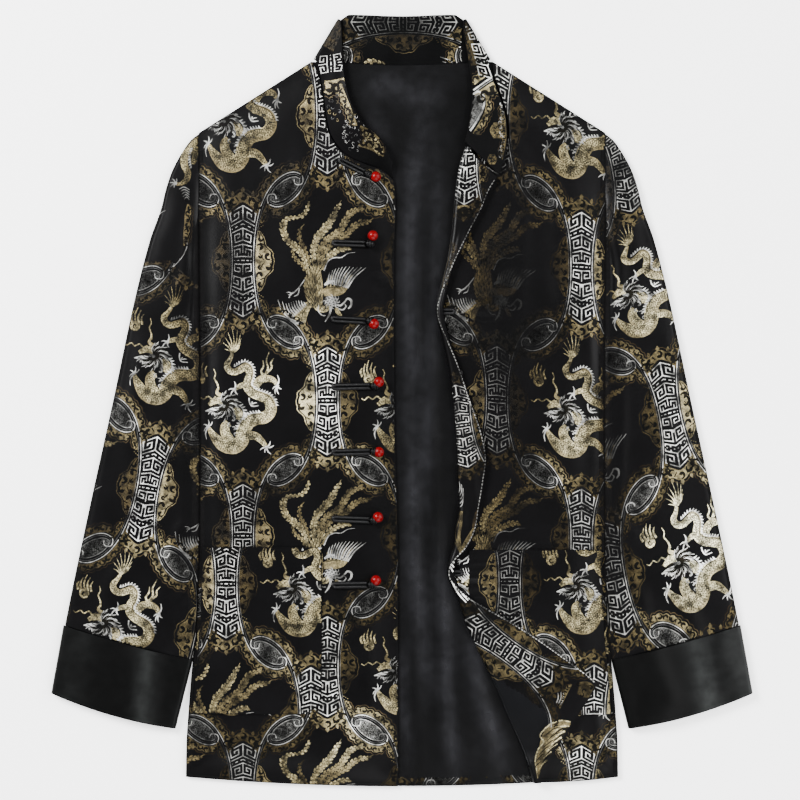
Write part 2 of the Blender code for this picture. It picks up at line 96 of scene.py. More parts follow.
# (side_y, fold_x, fold_y, free_x, free_y)
FLAP_ROWS = np.array([
    (-395.3, 137.6, -401.3, 146, -401), (-380, 131.5, -381, 155, -380),
    (-361.7, 123.9, -360.7, 163.8, -360.7), (-330.2, 110.2, -330.2, 183.8, -330.2),
    (-304, 99.8, -305, 200.6, -305), (-295.6, 95.5, -296.6, 204.8, -296.6),
    (-287.2, 91.4, -287.2, 195.3, -288.2), (-267.2, 81.9, -267.2, 167, -267.2),
    (-249.4, 73.5, -249.4, 141.8, -249.4), (-232.6, 66.2, -232.6, 115.5, -232.6),
    (-215.8, 60.9, -215.8, 86.1, -215.8), (-202.1, 54.6, -202.1, 66.2, -203.2),
    (-188.5, 48.8, -188.5, 52.5, -188.5), (-178, 47.2, -178, 50.4, -178),
    (-167.5, 49.4, -167.5, 55.7, -167.5), (-154.9, 53.6, -154.9, 67.2, -154.9),
    (-136, 55.7, -136, 76.7, -136), (-111.8, 59.9, -111.8, 80.9, -111.8),
    (-83.5, 57.8, -83.5, 85.6, -83.5), (-59.3, 57.8, -59.3, 88.2, -59.3),
    (-28.9, 56.2, -28.9, 81.9, -28.9), (0.5, 53.6, 0.5, 71.4, 0.5), (35.2, 48.3, 35.2, 59.9, 35.2),
    (63.5, 42, 63.5, 48.3, 63.5), (82.4, 37.3, 82.4, 40.4, 82.4), (97.1, 35.7, 97.1, 38.3, 97.1),
    (113.9, 38.9, 113.9, 43.1, 115), (142.3, 46.2, 142.3, 54.6, 143.3),
    (173.8, 51.5, 173.8, 69.3, 173.8), (202.1, 54.1, 202.1, 84, 202.1),
    (216.8, 55.7, 218.9, 91.4, 220), (224.2, 57.2, 231.5, 99.8, 233.6),
    (231.5, 60.9, 249.4, 84, 249.4), (239.9, 66.2, 265.5, 68.8, 265.1),
])
# (side_y, edge_x, edge_y)
NECK_LEFT_ROWS = np.array([
    (245.2, 91.4, 266.2), (250.4, 105, 268.3), (255.7, 111.8, 275.6), (260.9, 111.3, 294.5),
    (266.2, 107.1, 311.3), (270.4, 102.9, 323.9), (275.6, 97, 342.8), (281, 95.2, 355.8),
])
# (outer_x, outer_y, inner_y, height)
SLEEVE_ROWS = np.array([
    (213.8, 280, 198, 4.3), (222, 273.5, 190, 5.2), (233.5, 256.7, 184, 6.2), (242, 240, 178, 7),
    (247.8, 223, 170, 7.4), (253.5, 200, 158, 7.6), (264.8, 168.5, 136, 7.6), (281, 105.5, 82, 7.6),
    (303.4, 0.5, -22, 7.6), (326.6, -104.5, -131, 7.6), (344.5, -188.5, -220, 7.6),
    (354, -235.7, -272, 7.6),
])
# (outer_x, outer_y, inner_x, inner_y)
CUFF_END = np.array((368.4, -307.1, 237.6, -344.4))
CUFF_HEIGHT, CUFF_PROUD = 8.8, 1.6
SLEEVE_BOW, CUFF_BOW = 2, 4.7
SLEEVE_TUCK, BOW_ROWS, CUFF_STEPS = 0.1, 11, 13
# (seam_x, seam_y, seam_z, rim_x, rim_y, rim_z)
COLLAR_RIGHT_END = np.array([
    (-9.2, 232.3, 3.8, -11, 249.4, 9), (-13.7, 236.6, 4, -21, 272.5, 16),
    (-22.1, 243.3, 4.6, -34.6, 284, 17), (-33.6, 247.9, 5.2, -43.1, 292.4, 16),
    (-49.4, 254, 5.5, -49.9, 305, 14), (-61.5, 262, 5.5, -54.8, 316.1, 12),
    (-73.1, 276.9, 5.5, -58.6, 330.2, 10.5), (-78.3, 295.1, 5.5, -61.1, 346, 9.5),
    (-82.4, 323.9, 5.4, -62.8, 370.7, 8.4), (-86.6, 346, 5.3, -63.4, 391, 7.2),
])
COLLAR_BACK = np.array([
    (-84, 357.2, 1.7, -56.5, 405.4, 2.4), (-60, 355.5, 1.6, -36, 404.8, 3.2),
    (-28, 354.1, 1.6, -17, 403.9, 3.8), (0, 353.5, 1.6, 0, 403.6, 4),
    (28, 354.1, 1.6, 17, 403.9, 3.8), (60, 355.5, 1.6, 36, 404.8, 3.2),
    (84, 357.2, 1.7, 56.5, 405.4, 2.4),
])
COLLAR_LEFT_END = np.array([
    (92.4, 347, 5.3, 63.9, 391, 7.2), (95.1, 338, 5.6, 66.4, 376, 8),
    (101, 322, 5.9, 69.5, 357.5, 9), (105.2, 309, 6.4, 72.5, 338.6, 10),
    (109, 293.5, 7.3, 73.5, 319.7, 11.5), (109.8, 275.6, 8.4, 71.9, 300.8, 13.5),
    (108.2, 255.7, 8.8, 68.8, 283, 15.5), (101.6, 237.3, 9, 65.9, 270.6, 17),
])
COLLAR_CREASE = (91.9, 357.8, 3.5, 64.6, 403.2, 4.3)
# (y, left_x, right_x)
POCKET_RIGHT_ROWS = np.array([
    (-154, -209.5, -84), (-176, -210, -84), (-230, -211.5, -84), (-285, -216.5, -84),
    (-309, -218.5, -84.5), (-322, -219.5, -90), (-329, -220, -101),
])
POCKET_LEFT_ROWS = np.array([
    (-156.5, 70.4, 209.5), (-176, 70.4, 210), (-214, 70.6, 211), (-230, 74.5, 211.5),
    (-250, 83, 212.5), (-268, 91, 214.5), (-288, 101, 216.5), (-309, 111, 218.5),
    (-322, 117, 219.5), (-330, 121, 220),
])
# (start_x, start_y, end_x, end_y, bead_x, bead_y)
STRAPS = np.array([
    (-65.6, 252.4, -38.8, 238.8, -27.4, 234.4), (-72.5, 165.4, -37.8, 164.3, -30.5, 172.7),
    (-73.5, 85.6, -37.3, 83.5, -29.4, 80.3), (-72.5, 14.2, -32.6, 15.2, -24.2, 19.4),
    (-72.5, -54.6, -32.6, -53.6, -24.2, -54.1), (-72.5, -123.9, -33.6, -125.5, -25.2, -122.3),
    (-72.5, -193.7, -35.7, -193.2, -27.3, -188.5),
])
# (y, length)
LOOPS = np.array([
    (222, 24), (162, 8), (93.5, 13), (29, 7), (-43, 21), (-112, 14), (-181, 10),
])

# Creases, listed in draft steps: (x0, y0, x1, y1, half_width, height in mm)
FRONT_CREASES = (
    (216, 205, 222, 520, 8, 0.7), (207, 300, 210, 470, 4, -0.6), (300, 130, 296, 300, 15, 0.9),
    (376, 262, 398, 268, 2.6, 0.8), (372, 276, 397, 287, 2.8, 1), (368, 290, 396, 297, 3, 0.7),
    (352, 172, 392, 180, 3.2, 1.1), (345, 186, 376, 190, 3, -0.6), (240, 640, 222, 760, 13, 0.8),
    (318, 700, 330, 776, 9, 0.7), (368, 610, 372, 770, 8, 0.8), (282, 724, 300, 778, 6, -0.7),
    (520, 120, 522, 330, 9, 0.6), (540, 150, 548, 330, 11, 0.5), (448, 306, 492, 296, 3, 1.2),
    (450, 314, 500, 318, 3.4, 1.3), (449, 324, 486, 340, 3, 0.9), (455, 568, 500, 556, 3, 1.2),
    (468, 577, 494, 575, 3.2, 1.5), (468, 585, 492, 586, 2.6, -1), (466, 593, 496, 598, 3.4, 1.3),
    (470, 602, 500, 610, 3, 0.8), (590, 190, 595, 520, 8, 0.8), (600, 250, 601, 470, 4, -0.5),
    (556, 600, 566, 640, 8, 0.7), (596, 690, 606, 776, 7, 1), (560, 726, 566, 776, 5, 0.8),
)
FLAP_CREASES = (
    (505, 690, 528, 742, 5, 1.1), (498, 668, 520, 690, 6, 0.8), (462, 232, 450, 290, 4, 0.7),
    (470, 398, 476, 520, 5, 0.6), (484, 640, 506, 700, 4, -0.6), (540, 690, 560, 742, 6, 0.9),
)
SLEEVE_CREASES = (
    (176, 196, 160, 268, 8, 0.4), (190, 214, 178, 300, 5, 0.5), (196, 240, 192, 330, 4, -1.4),
    (168, 290, 190, 330, 6, 0.5), (140, 330, 128, 470, 10, 0.9), (182, 380, 186, 600, 5, 0.5),
    (120, 560, 104, 640, 9, 0.9), (160, 590, 172, 650, 7, 1), (186, 520, 170, 548, 5, 0.9),
    (188, 590, 176, 606, 4, 0.8),
)
LINING_CREASES = (
    (418, 180, 412, 640, 5, 1.1), (430, 380, 446, 780, 6, 0.9), (404, 520, 420, 770, 5, 0.8),
    (426, 200, 434, 470, 4, 0.6), (462, 660, 500, 776, 8, 1),
)
CUFF_CREASES = (
    (150, 625, 141, 725, 17, 2.6), (172, 650, 162, 716, 6, -0.8), (84, 640, 70, 690, 12, 0.9),
)


# ---------------------------------------------------------------- helpers
def smooth(share):
    """An even step from 0 to 1 that starts and ends level."""
    share = np.clip(share, 0, 1)
    return share * share * (3 - 2 * share)


def side_x(y):
    """Half the body's width."""
    return np.interp(y, BODY_SIDE[:, 0], BODY_SIDE[:, 1])


def hem_y(x):
    """The hem, which sags in the middle."""
    return HEM_SIDE_Y - HEM_SAG * (1 - (x / BODY_SIDE[0, 1]) ** 2)


def shoulder_y(x):
    """The slope of the shoulder seam."""
    share = np.minimum(1, (SHOULDER_X - abs(x)) / (SHOULDER_X - NECK_X))
    return SHOULDER_Y + (NECK_Y - SHOULDER_Y) * share


def relief(x, y, creases, wave=0.8, seed=0):
    """Height of the creases and of a slow unevenness at places in millimetres."""
    x, y = np.broadcast_arrays(np.asarray(x, float), np.asarray(y, float))
    height = np.zeros(x.shape)
    for row in creases:
        start, end = plan(row[:2]), plan(row[2:4])
        along = end - start
        length = np.hypot(*along)
        along = along / length
        dx, dy = x - start[0], y - start[1]
        run = (dx * along[0] + dy * along[1]) / length
        off = (dx * -along[1] + dy * along[0]) / (row[4] * STEP)
        off = off + 0.35 * np.sin(run * 7 + seed + start[0])
        ends = smooth((run + 0.12) / 0.34) * smooth((1.12 - run) / 0.34)
        height += row[5] * ends * np.exp(-off * off)
    uneven = [noise.noise((a * 0.021, b * 0.012, seed))
              + 0.30 * noise.noise((a * 0.055, b * 0.034, seed))
              for a, b in zip(x.ravel(), y.ravel())]
    return height + wave * np.array(uneven).reshape(x.shape)


def front_mid(x, y):
    """The middle of a front's wall: near the floor at its edges, and lofted inside them."""
    inset = np.minimum.reduce([side_x(y) - abs(x), y - hem_y(x), 0.85 * (shoulder_y(x) - y)])
    inset = np.where(x < 0, np.minimum(inset, FRONT_EDGE_X - x), inset)
    return FRONT_REST + LOFT * smooth(inset / LOFT_RAMP)


def front_shape(x, y):
    """The middle of a front's wall with its creases, which die out at its outer edges."""
    inset = np.minimum(side_x(y) - abs(x), np.minimum(y - hem_y(x), shoulder_y(x) - y))
    held = smooth(inset / 16)
    lift = relief(x, y, FRONT_CREASES, seed=3)
    return front_mid(x, y) + np.maximum(lift, -0.9) * held


def curve_rows(rows, spacing, key=0):
    """Rows of a table with more between them, on a smooth curve through them."""
    rows = np.asarray(rows, float)
    padded = np.vstack([2 * rows[0] - rows[1], rows, 2 * rows[-1] - rows[-2]])
    out = [rows[0]]
    for i in range(1, len(padded) - 2):
        a, b, c, d = padded[i - 1:i + 3]
        span = np.abs(c - b)[key] if key is not None else np.hypot(*(c - b)[:2])
        steps = max(1, int(math.ceil(span / spacing)))
        before, after = max(1e-6, np.abs(b - a).max()), max(1e-6, np.abs(d - c).max())
        here = max(1e-6, np.abs(c - b).max())
        m0 = (c - a) * here / (before + here)
        m1 = (d - b) * here / (after + here)
        for step in range(1, steps + 1):
            t = step / steps
            t2, t3 = t * t, t * t * t
            out.append((2 * t3 - 3 * t2 + 1) * b + (t3 - 2 * t2 + t) * m0
                       + (-2 * t3 + 3 * t2) * c + (t3 - t2) * m1)
    return np.array(out)


def straight_rows(rows, spacing):
    """Rows of a table with more between them, on straight lines between them."""
    rows = np.asarray(rows, float)
    out = [rows[:1]]
    for low, high in zip(rows, rows[1:]):
        steps = max(1, int(math.ceil(np.abs(high - low)[:2].max() / spacing)))
        shares = np.arange(1, steps + 1)[:, None] / steps
        out.append(low + (high - low) * shares)
    return np.vstack(out)


def add_mesh(name, points, faces, materials, indices=None):
    """A mesh from points in millimetres, in the scene and riding the root."""
    mesh = bpy.data.meshes.new(name)
    mesh.from_pydata((np.asarray(points) * MM).tolist(), [], [tuple(f) for f in faces])
    for item in materials:
        mesh.materials.append(item)
    if indices is not None:
        mesh.polygons.foreach_set("material_index", indices)
    mesh.shade_smooth()
    made = bpy.data.objects.new(name, mesh)
    bpy.context.scene.collection.objects.link(made)
    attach(made, "root")
    return made


def grid_faces(rows, columns, closed=False, start=0):
    """Quads over a grid of points, joined round its rows where closed."""
    i, j = np.meshgrid(np.arange(rows - 1), np.arange(columns if closed else columns - 1),
                       indexing="ij")
    after = (j + 1) % columns
    faces = np.stack([i * columns + j, i * columns + after, (i + 1) * columns + after,
                      (i + 1) * columns + j], -1)
    return faces.reshape(-1, 4) + start


RIM_TURN = math.radians(50)
MERGE = 0.00001


def face_outwards(mesh):
    """Join the points that grids share and turn the faces the same way."""
    shape = bmesh.new()
    shape.from_mesh(mesh)
    bmesh.ops.remove_doubles(shape, verts=shape.verts, dist=MERGE)
    bmesh.ops.recalc_face_normals(shape, faces=shape.faces)
    shape.to_mesh(mesh)
    shape.free()


def add_sheet(name, grids, thickness, materials, indices=None):
    """A wall of cloth centred on grids of points (rows, columns, 3) that may share edges."""
    points, faces, start = [], [], 0
    for grid in grids:
        rows, columns = grid.shape[:2]
        points.append(grid.reshape(-1, 3))
        faces.append(grid_faces(rows, columns, start=start))
        start += rows * columns
    made = add_mesh(name, np.vstack(points), np.vstack(faces), materials, indices)
    face_outwards(made.data)
    wall = made.modifiers.new("wall", "SOLIDIFY")
    wall.thickness = thickness * MM
    wall.offset = 0
    wall.use_even_offset = True
    for _ in materials:
        made.data.materials.append(RIM)
    wall.material_offset_rim = len(materials)
    depsgraph = bpy.context.evaluated_depsgraph_get()
    mesh = bpy.data.meshes.new_from_object(made.evaluated_get(depsgraph))
    made.modifiers.clear()
    made.data = mesh
    mesh.set_sharp_from_angle(angle=RIM_TURN)
    return made


# ---------------------------------------------------------------- materials
def add_node(tree, kind, source, entry, **values):
    """A node fed by source at its input entry, with values on others (_ stands for a space)."""
    made = tree.nodes.new("ShaderNode" + kind)
    tree.links.new(source, made.inputs[entry])
    for name, value in values.items():
        made.inputs[name.replace("_", " ")].default_value = value
    return made


def multiply(tree, paint, gain):
    """One colour times another."""
    mix = tree.nodes.new("ShaderNodeMix")
    mix.data_type = "RGBA"
    mix.blend_type = "MULTIPLY"
    mix.inputs["Factor"].default_value = 1
    tree.links.new(paint, mix.inputs["A"])
    tree.links.new(gain, mix.inputs["B"])
    return mix.outputs["Result"]


def node_material(name, colour, roughness, metallic=0, specular=0.5, vary=0.25, vary_scale=60,
                  weave=900, bump=0.15, with_painted_light=False, dots=None, glints=(0.22, 1.9)):
    """A woven cloth: a colour with slow and fine variation, and a twill in relief.

    dots is a grain: its scale, where its cells begin and end to fade, and to what. A toned cloth
    also has painted glints, its colour scaled by noise between two gains, and takes the painted
    light and shade stored on its points as a gain on its colour."""
    made = bpy.data.materials.new(name)
    made.use_nodes = True
    tree = made.node_tree
    shader = tree.nodes["Principled BSDF"]
    shader.inputs["Roughness"].default_value = roughness
    shader.inputs["Metallic"].default_value = metallic
    shader.inputs["Specular IOR Level"].default_value = specular
    place = tree.nodes.new("ShaderNodeTexCoord").outputs["Object"]
    cloud = add_node(tree, "TexNoise", place, "Vector", Scale=vary_scale, Detail=4)
    ramp = add_node(tree, "ValToRGB", cloud.outputs["Fac"], "Fac")
    for stop, at, gain in zip(ramp.color_ramp.elements, (0.3, 0.72), (1 - vary, 1 + vary)):
        stop.position = at
        stop.color = (*[min(1, c * gain) for c in colour], 1)
    paint = ramp.outputs["Color"]
    if dots:
        scale, start, end, faded = dots
        cells = add_node(tree, "TexVoronoi", place, "Vector", Scale=scale)
        grain = add_node(tree, "MapRange", cells.outputs["Distance"], "Value", From_Min=start,
                         From_Max=end, To_Min=1, To_Max=faded)
        paint = multiply(tree, paint, grain.outputs["Result"])
    if with_painted_light:
        # Painted glints: noise scales the colour between two gains
        glint = add_node(tree, "TexNoise", place, "Vector", Scale=95, Detail=3)
        shine = add_node(tree, "MapRange", glint.outputs["Fac"], "Value", From_Min=0.36,
                         From_Max=0.66, To_Min=glints[0], To_Max=glints[1])
        paint = multiply(tree, paint, shine.outputs["Result"])
        # Painted light and shade: the gain stored on the points scales the colour
        painted_light = tree.nodes.new("ShaderNodeAttribute")
        painted_light.attribute_name = "painted_light"
        paint = multiply(tree, paint, painted_light.outputs["Color"])
    tree.links.new(paint, shader.inputs["Base Color"])
    if bump > 0:
        turn = add_node(tree, "Mapping", place, "Vector", Rotation=(0, 0, math.radians(35)))
        twill = add_node(tree, "TexWave", turn.outputs["Vector"], "Vector", Scale=weave,
                         Distortion=1.5, Detail=1)
        raised = add_node(tree, "Bump", twill.outputs["Fac"], "Height", Strength=bump,
                          Distance=0.0002)
        tree.links.new(raised.outputs["Normal"], shader.inputs["Normal"])
    return made


PLAIN = dict(vary=0.35, vary_scale=25, weave=420, bump=0.08)
LINED = dict(specular=0.34, vary=0.4, vary_scale=20, weave=500, bump=0.06)
# Painted sheen: these cloths' colour carries painted glints and the painted light stored on their
# points
PAINTED_SHEEN = dict(with_painted_light=True, glints=(0.75, 1.25))
# Metal threads also carry painted glints and painted light and shade in their colour
METAL = dict(metallic=0.5, specular=0.12, vary_scale=420, bump=0.25, with_painted_light=True)
SATIN = node_material("satin_ground", (0.0011, 0.00105, 0.0012), 0.34, specular=0.10, **PLAIN)
LINING = node_material("lining_satin", (0.0013, 0.0014, 0.0018), 0.24, **LINED)
# The back's lining carries painted sheen in its colour
BACK_LINING = node_material("back_lining_satin", (0.0013, 0.0013, 0.0015), 0.24, **LINED, **PAINTED_SHEEN)
COLLAR_CLOTH = node_material("collar_satin", (0.0010, 0.0010, 0.0011), 0.5, specular=0.03, **PLAIN)
RIM = node_material("cloth_rim", (0.0016, 0.0015, 0.0016), 0.75, specular=0.04, vary=0.3,
                    vary_scale=200, weave=700, bump=0.2)
# The cuffs carry painted highlights in their colour
CUFF_CLOTH = node_material("cuff_satin", (0.00085, 0.00092, 0.0009), 0.36, specular=0.09, vary=0.3,
                           vary_scale=15, weave=500, bump=0.10, **PAINTED_SHEEN)
CORD_CLOTH = node_material("cord_satin", (0.0008, 0.0008, 0.0010), 0.40, specular=0.13, vary=0.3,
                           vary_scale=300, weave=700, bump=0.35)
BEAD_FINISH = node_material("bead_red", (0.096, 0.0008, 0.0018), 0.24, specular=0.10,
                            vary_scale=350, bump=0)
SILVER = node_material("thread_silver", (0.62, 0.615, 0.585), 0.42, vary=0.30, **METAL)
STEEL = node_material("thread_steel", (0.17, 0.17, 0.165), 0.42, vary=0.35, **METAL)
GOLD = node_material("thread_gold", (0.37, 0.322, 0.185), 0.42, vary=0.3,
                     dots=(700, 0.2, 0.8, 0.50), **METAL)
OCHRE = node_material("thread_ochre", (0.095, 0.071, 0.038), 0.45, vary=0.35,
                      **(METAL | dict(metallic=0.4, bump=0.2)))
CREAM = node_material("thread_pale_gold", (0.66, 0.60, 0.37), 0.42, vary=0.16,
                      dots=(620, 0.22, 0.72, 0.24), **(METAL | dict(vary_scale=380)))
DARK = node_material("thread_dark", (0.006, 0.005, 0.003), 0.5, specular=0.06, vary=0.3,
                     vary_scale=300, bump=0, with_painted_light=True)
SPECKLE = node_material("thread_speckle", (0.21, 0.21, 0.20), 0.45, vary=0.3,
                        dots=(760, 0.34, 0.62, 0.22), **(METAL | dict(metallic=0, bump=0)))
# Each thread's material, and how far it stands off the cloth in mm
THREADS = {"ochre": (OCHRE, 0.12), "gold": (GOLD, 0.15), "speckle": (SPECKLE, 0.15),
           "cream": (CREAM, 0.20), "steel": (STEEL, 0.24), "silver": (SILVER, 0.25),
           "dark": (DARK, 0.31)}
THREAD_NAMES = list(THREADS)
THREAD_FINISHES = [finish for finish, height in THREADS.values()]
THREAD_HEIGHTS = np.array([height for finish, height in THREADS.values()])
WARM_THREADS = np.array([name in ("ochre", "gold", "cream") for name in THREAD_NAMES])


def add_painted_light(piece, light_gains):
    """Store painted light and shade on each point of a piece: a gain on its colour, or one for each
    of RGB.
    """
    light_gains = np.broadcast_to(light_gains.reshape(len(light_gains), -1), (len(light_gains), 3))
    painted_light = piece.data.attributes.new("painted_light", "FLOAT_COLOR", "POINT")
    painted_light.data.foreach_set("color", np.column_stack([light_gains, np.ones(len(light_gains))]).ravel())


def points_of(piece):
    """A piece's points in millimetres."""
    return np.array([tuple(point.co) for point in piece.data.vertices]) / MM


def middles_of(piece):
    """The middles of a piece's faces in millimetres."""
    return np.array([tuple(face.center) for face in piece.data.polygons]) / MM


# ---------------------------------------------------------------- the cloth pieces
PANEL_SHARES = np.concatenate([np.linspace(0, 0.10, 9), np.linspace(0.125, 0.93, 36),
                               np.linspace(0.95, 1, 5)])
BEND_STEPS = 12


def panel_grid(side, side_y, edge_x, edge_y):
    """A front's points in rows from its side seam to its free or folded edge."""
    share = PANEL_SHARES[None, :]
    side_y, edge_x, edge_y = side_y[:, None], edge_x[:, None], edge_y[:, None]
    start_x = side * side_x(side_y)
    sag = np.clip(-side_y / 200, 0, 1)
    curved = share + (1 - (1 - share) ** 2 - share) * sag
    x = start_x + (edge_x - start_x) * share
    y = side_y + (edge_y - side_y) * curved
    return np.stack([x, y, front_shape(x, y)], -1)


FACES_DOWN = -0.5
# Painted sheen on the lining, soft streaks of light painted into its colour, in draft steps: (x0,
# y0, x1, y1, half_width, gain)
LINING_PAINTED_SHEEN = (
    (416, 120, 408, 420, 9, 4), (438, 170, 426, 520, 7, 3.4), (410, 430, 424, 700, 8, 4.6),
    (438, 540, 456, 776, 7, 4.6), (470, 640, 502, 772, 8, 5.6), (404, 640, 408, 776, 5, 2.6),
    (366, 88, 446, 96, 12, 2.6), (372, 110, 392, 190, 9, 3),
)


def make_back():
    """The back on the floor, with its lining up and the plain satin under it."""
    top = np.vstack([BACK_TOP, BACK_TOP[-2::-1] * (-1, 1)])
    top = straight_rows(top, 6)
    shares = np.linspace(0, 1, 130)[:, None]
    hem_x = top[:, 0] * BODY_SIDE[0, 1] / SHOULDER_X
    y = hem_y(hem_x) + (top[:, 1] - hem_y(hem_x)) * shares
    x = top[:, 0] * side_x(y) / SHOULDER_X
    fold = np.interp(y, FLAP_ROWS[:, 0], FLAP_ROWS[:, 1])
    # creases only where the back shows between the fronts, under the neck
    clear = smooth((x + 2) / 12) * smooth((fold - 4 - x) / 12) * smooth((232 - y) / 30)
    lift = relief(x, y, LINING_CREASES, wave=0.5, seed=21) + 0.4
    z = WALL / 2 + clear * np.maximum(lift, 0)
    cloth = add_sheet("back_cloth", [np.stack([x, y, z], -1)], WALL, [BACK_LINING])
    places = points_of(cloth)
    # Painted sheen: soft streaks of light painted into the lining's colour
    painted_highlight = np.maximum(relief(places[:, 0], places[:, 1], LINING_PAINTED_SHEEN, wave=0.8, seed=9), -0.4)
    add_painted_light(cloth, 1 + painted_highlight)
    outside = len(cloth.data.materials)
    cloth.data.materials.append(SATIN)
    for face in cloth.data.polygons:
        if face.normal.z < FACES_DOWN:
            face.material_index = outside
    return cloth


ARMHOLE_STRIP, ARMHOLE_LOW, ARMHOLE_TOP = 5, -390, 262


def shade_armhole(front):
    """The strip that rolls down beside the sleeve catches no light."""
    x, y = middles_of(front)[:, :2].T
    strip = (side_x(y) - abs(x) < ARMHOLE_STRIP) & (y > ARMHOLE_LOW) & (y < ARMHOLE_TOP)
    for index in np.nonzero(strip)[0]:
        front.data.polygons[int(index)].material_index = 1
    return front


def make_front_right():
    """The front at the wearer's right, with its straight edge and the slope of its neck."""
    rows = curve_rows(FRONT_RIGHT_ROWS[3:], 4.5)
    rows = np.vstack([straight_rows(FRONT_RIGHT_ROWS[:4], 4.5)[:-1], rows])
    grid = panel_grid(-1, rows[:, 0], rows[:, 1], rows[:, 2])
    return shade_armhole(add_sheet("front_right_cloth", [grid], WALL, [SATIN]))


def flap_grid(rows, rise, from_angle):
    """Round the fold and out along the turned-back flap."""
    fold_x, fold_y, free_x, free_y = rows[:, 1:5].T[:, :, None]
    centre_x = fold_x + FOLD_REACH
    free_x = np.maximum(free_x, centre_x + LEAST_FLAP)
    low = front_shape(centre_x, fold_y)
    radius = FOLD_RADIUS + rise
    angle = np.radians(np.linspace(from_angle, 90, BEND_STEPS + 1))[None, :]
    bend = np.stack([centre_x - radius * np.cos(angle), fold_y + 0 * angle,
                     low + FOLD_RADIUS + radius * np.sin(angle)], -1)
    share = np.linspace(0, 1, 26)[None, 1:]
    x = centre_x + (free_x - centre_x) * share
    y = fold_y + (free_y - fold_y) * share
    lift = relief(x, y, FLAP_CREASES, wave=0.3, seed=8) * smooth(share * 3)
    top = np.maximum(front_shape(x, y), front_mid(x, y))
    base = low + (top - low) * smooth(share * 2.5)
    z = base + 2 * FOLD_RADIUS + rise + np.maximum(lift, -0.3)
    return np.concatenate([bend, np.stack([x, y, z], -1)], 1)


# The rows of the turned-back flap's two corners
CORNER_LOW, CORNER_TOP = 5, 31


def flap_rows():
    """The flap's rows, smooth along its folds and sharp at its two corners."""
    parts = [curve_rows(FLAP_ROWS[:CORNER_LOW + 1], 3)[:-1],
             curve_rows(FLAP_ROWS[CORNER_LOW:CORNER_TOP + 1], 3)[:-1],
             curve_rows(FLAP_ROWS[CORNER_TOP:], 2)]
    return np.vstack(parts)


def make_front_left():
    """The front at the wearer's left: below its fold, beside its neck, and the turned-back flap."""
    rows = flap_rows()
    lower = panel_grid(1, rows[:, 0], rows[:, 1] + FOLD_REACH, rows[:, 2])
    neck = curve_rows(NECK_LEFT_ROWS, 2.5)
    join = np.array([(rows[-1, 0], rows[-1, 1] + FOLD_REACH, rows[-1, 2])])
    neck = np.vstack([join, neck])
    upper = panel_grid(1, neck[:, 0], neck[:, 1], neck[:, 2])
    flap = flap_grid(rows, 0, -90)
    return shade_armhole(add_sheet("front_left_cloth", [lower, upper, flap], WALL, [SATIN]))


FACING_WIDTH = 54
HEM_BAND = 20
LINING_TOP = -200
EDGE_START, EDGE_END = np.array((86.1, -215.8)), np.array((204.8, -296.6))
HEM_START, HEM_END = EDGE_END, np.array((146, -401))


def from_line(x, y, start, end):
    """How far places are from a line."""
    along = (end - start) / np.hypot(*(end - start))
    return np.abs((x - start[0]) * -along[1] + (y - start[1]) * along[0])


def is_brocade(x, y):
    """Whether a place of the turned-back flap is facing or hem, and not lining."""
    near_edge = from_line(x, y, EDGE_START, EDGE_END) < FACING_WIDTH
    near_hem = from_line(x, y, HEM_START, HEM_END) < HEM_BAND
    return (y > LINING_TOP) | near_edge | near_hem


def make_facing():
    """The brocade and the lining on the turned-back flap's upper side."""
    rows = flap_rows()
    rows[:, 3] -= SEAM
    grid = flap_grid(rows, FACING_RISE, -10)
    made = add_sheet("facing_left_cloth", [grid], FACING, [SATIN, LINING])
    places = middles_of(made)
    lining = ~is_brocade(places[:, 0], places[:, 1])
    made.data.polygons.foreach_set("material_index", lining.astype(int))
    return made


TUBE_END, TUBE_FLAT, TUBE_WALL = 8, 25, 1.4


def tube_rings(outer, inner, height, inset, bow, along, creases, side):
    """Rings of a flattened tube that lies on the floor, between outer and inner places."""
    ends, middle = TUBE_END + 1, TUBE_FLAT
    rings = []
    for o, i, h, b in zip(outer, inner, height, bow):
        across = i - o
        width = np.hypot(*across)
        across = across / width
        half = h / 2
        radius = half - inset
        a = np.radians(np.linspace(90, 270, ends))
        left = np.stack([half + radius * np.cos(a), half + radius * np.sin(a)], -1)
        low = np.linspace(half, width - half, middle + 2)[1:-1]
        bottom = np.stack([low, np.full(middle, inset)], -1)
        right = np.stack([width - half - radius * np.cos(a), half - radius * np.sin(a)], -1)
        roof = np.stack([low[::-1], np.full(middle, h - inset)], -1)
        ring = np.vstack([left, bottom, right, roof])
        share = ring[:, 0] / width
        place = o + across * ring[:, :1] + along * (b * 4 * share * (1 - share))[:, None]
        upper = smooth((ring[:, 1] - half) / max(0.5, radius))
        dome = 0.9 * (4 * share * (1 - share)) * upper
        lift = relief(place[:, 0], place[:, 1], creases, wave=0.5, seed=side * 5) * upper
        room = smooth(np.minimum(share, 1 - share) * width / 12)
        z = ring[:, 1] + dome + np.maximum(lift, -1.6 + inset * 0.2) * room
        rings.append(np.column_stack([place, z]))
    return np.array(rings)


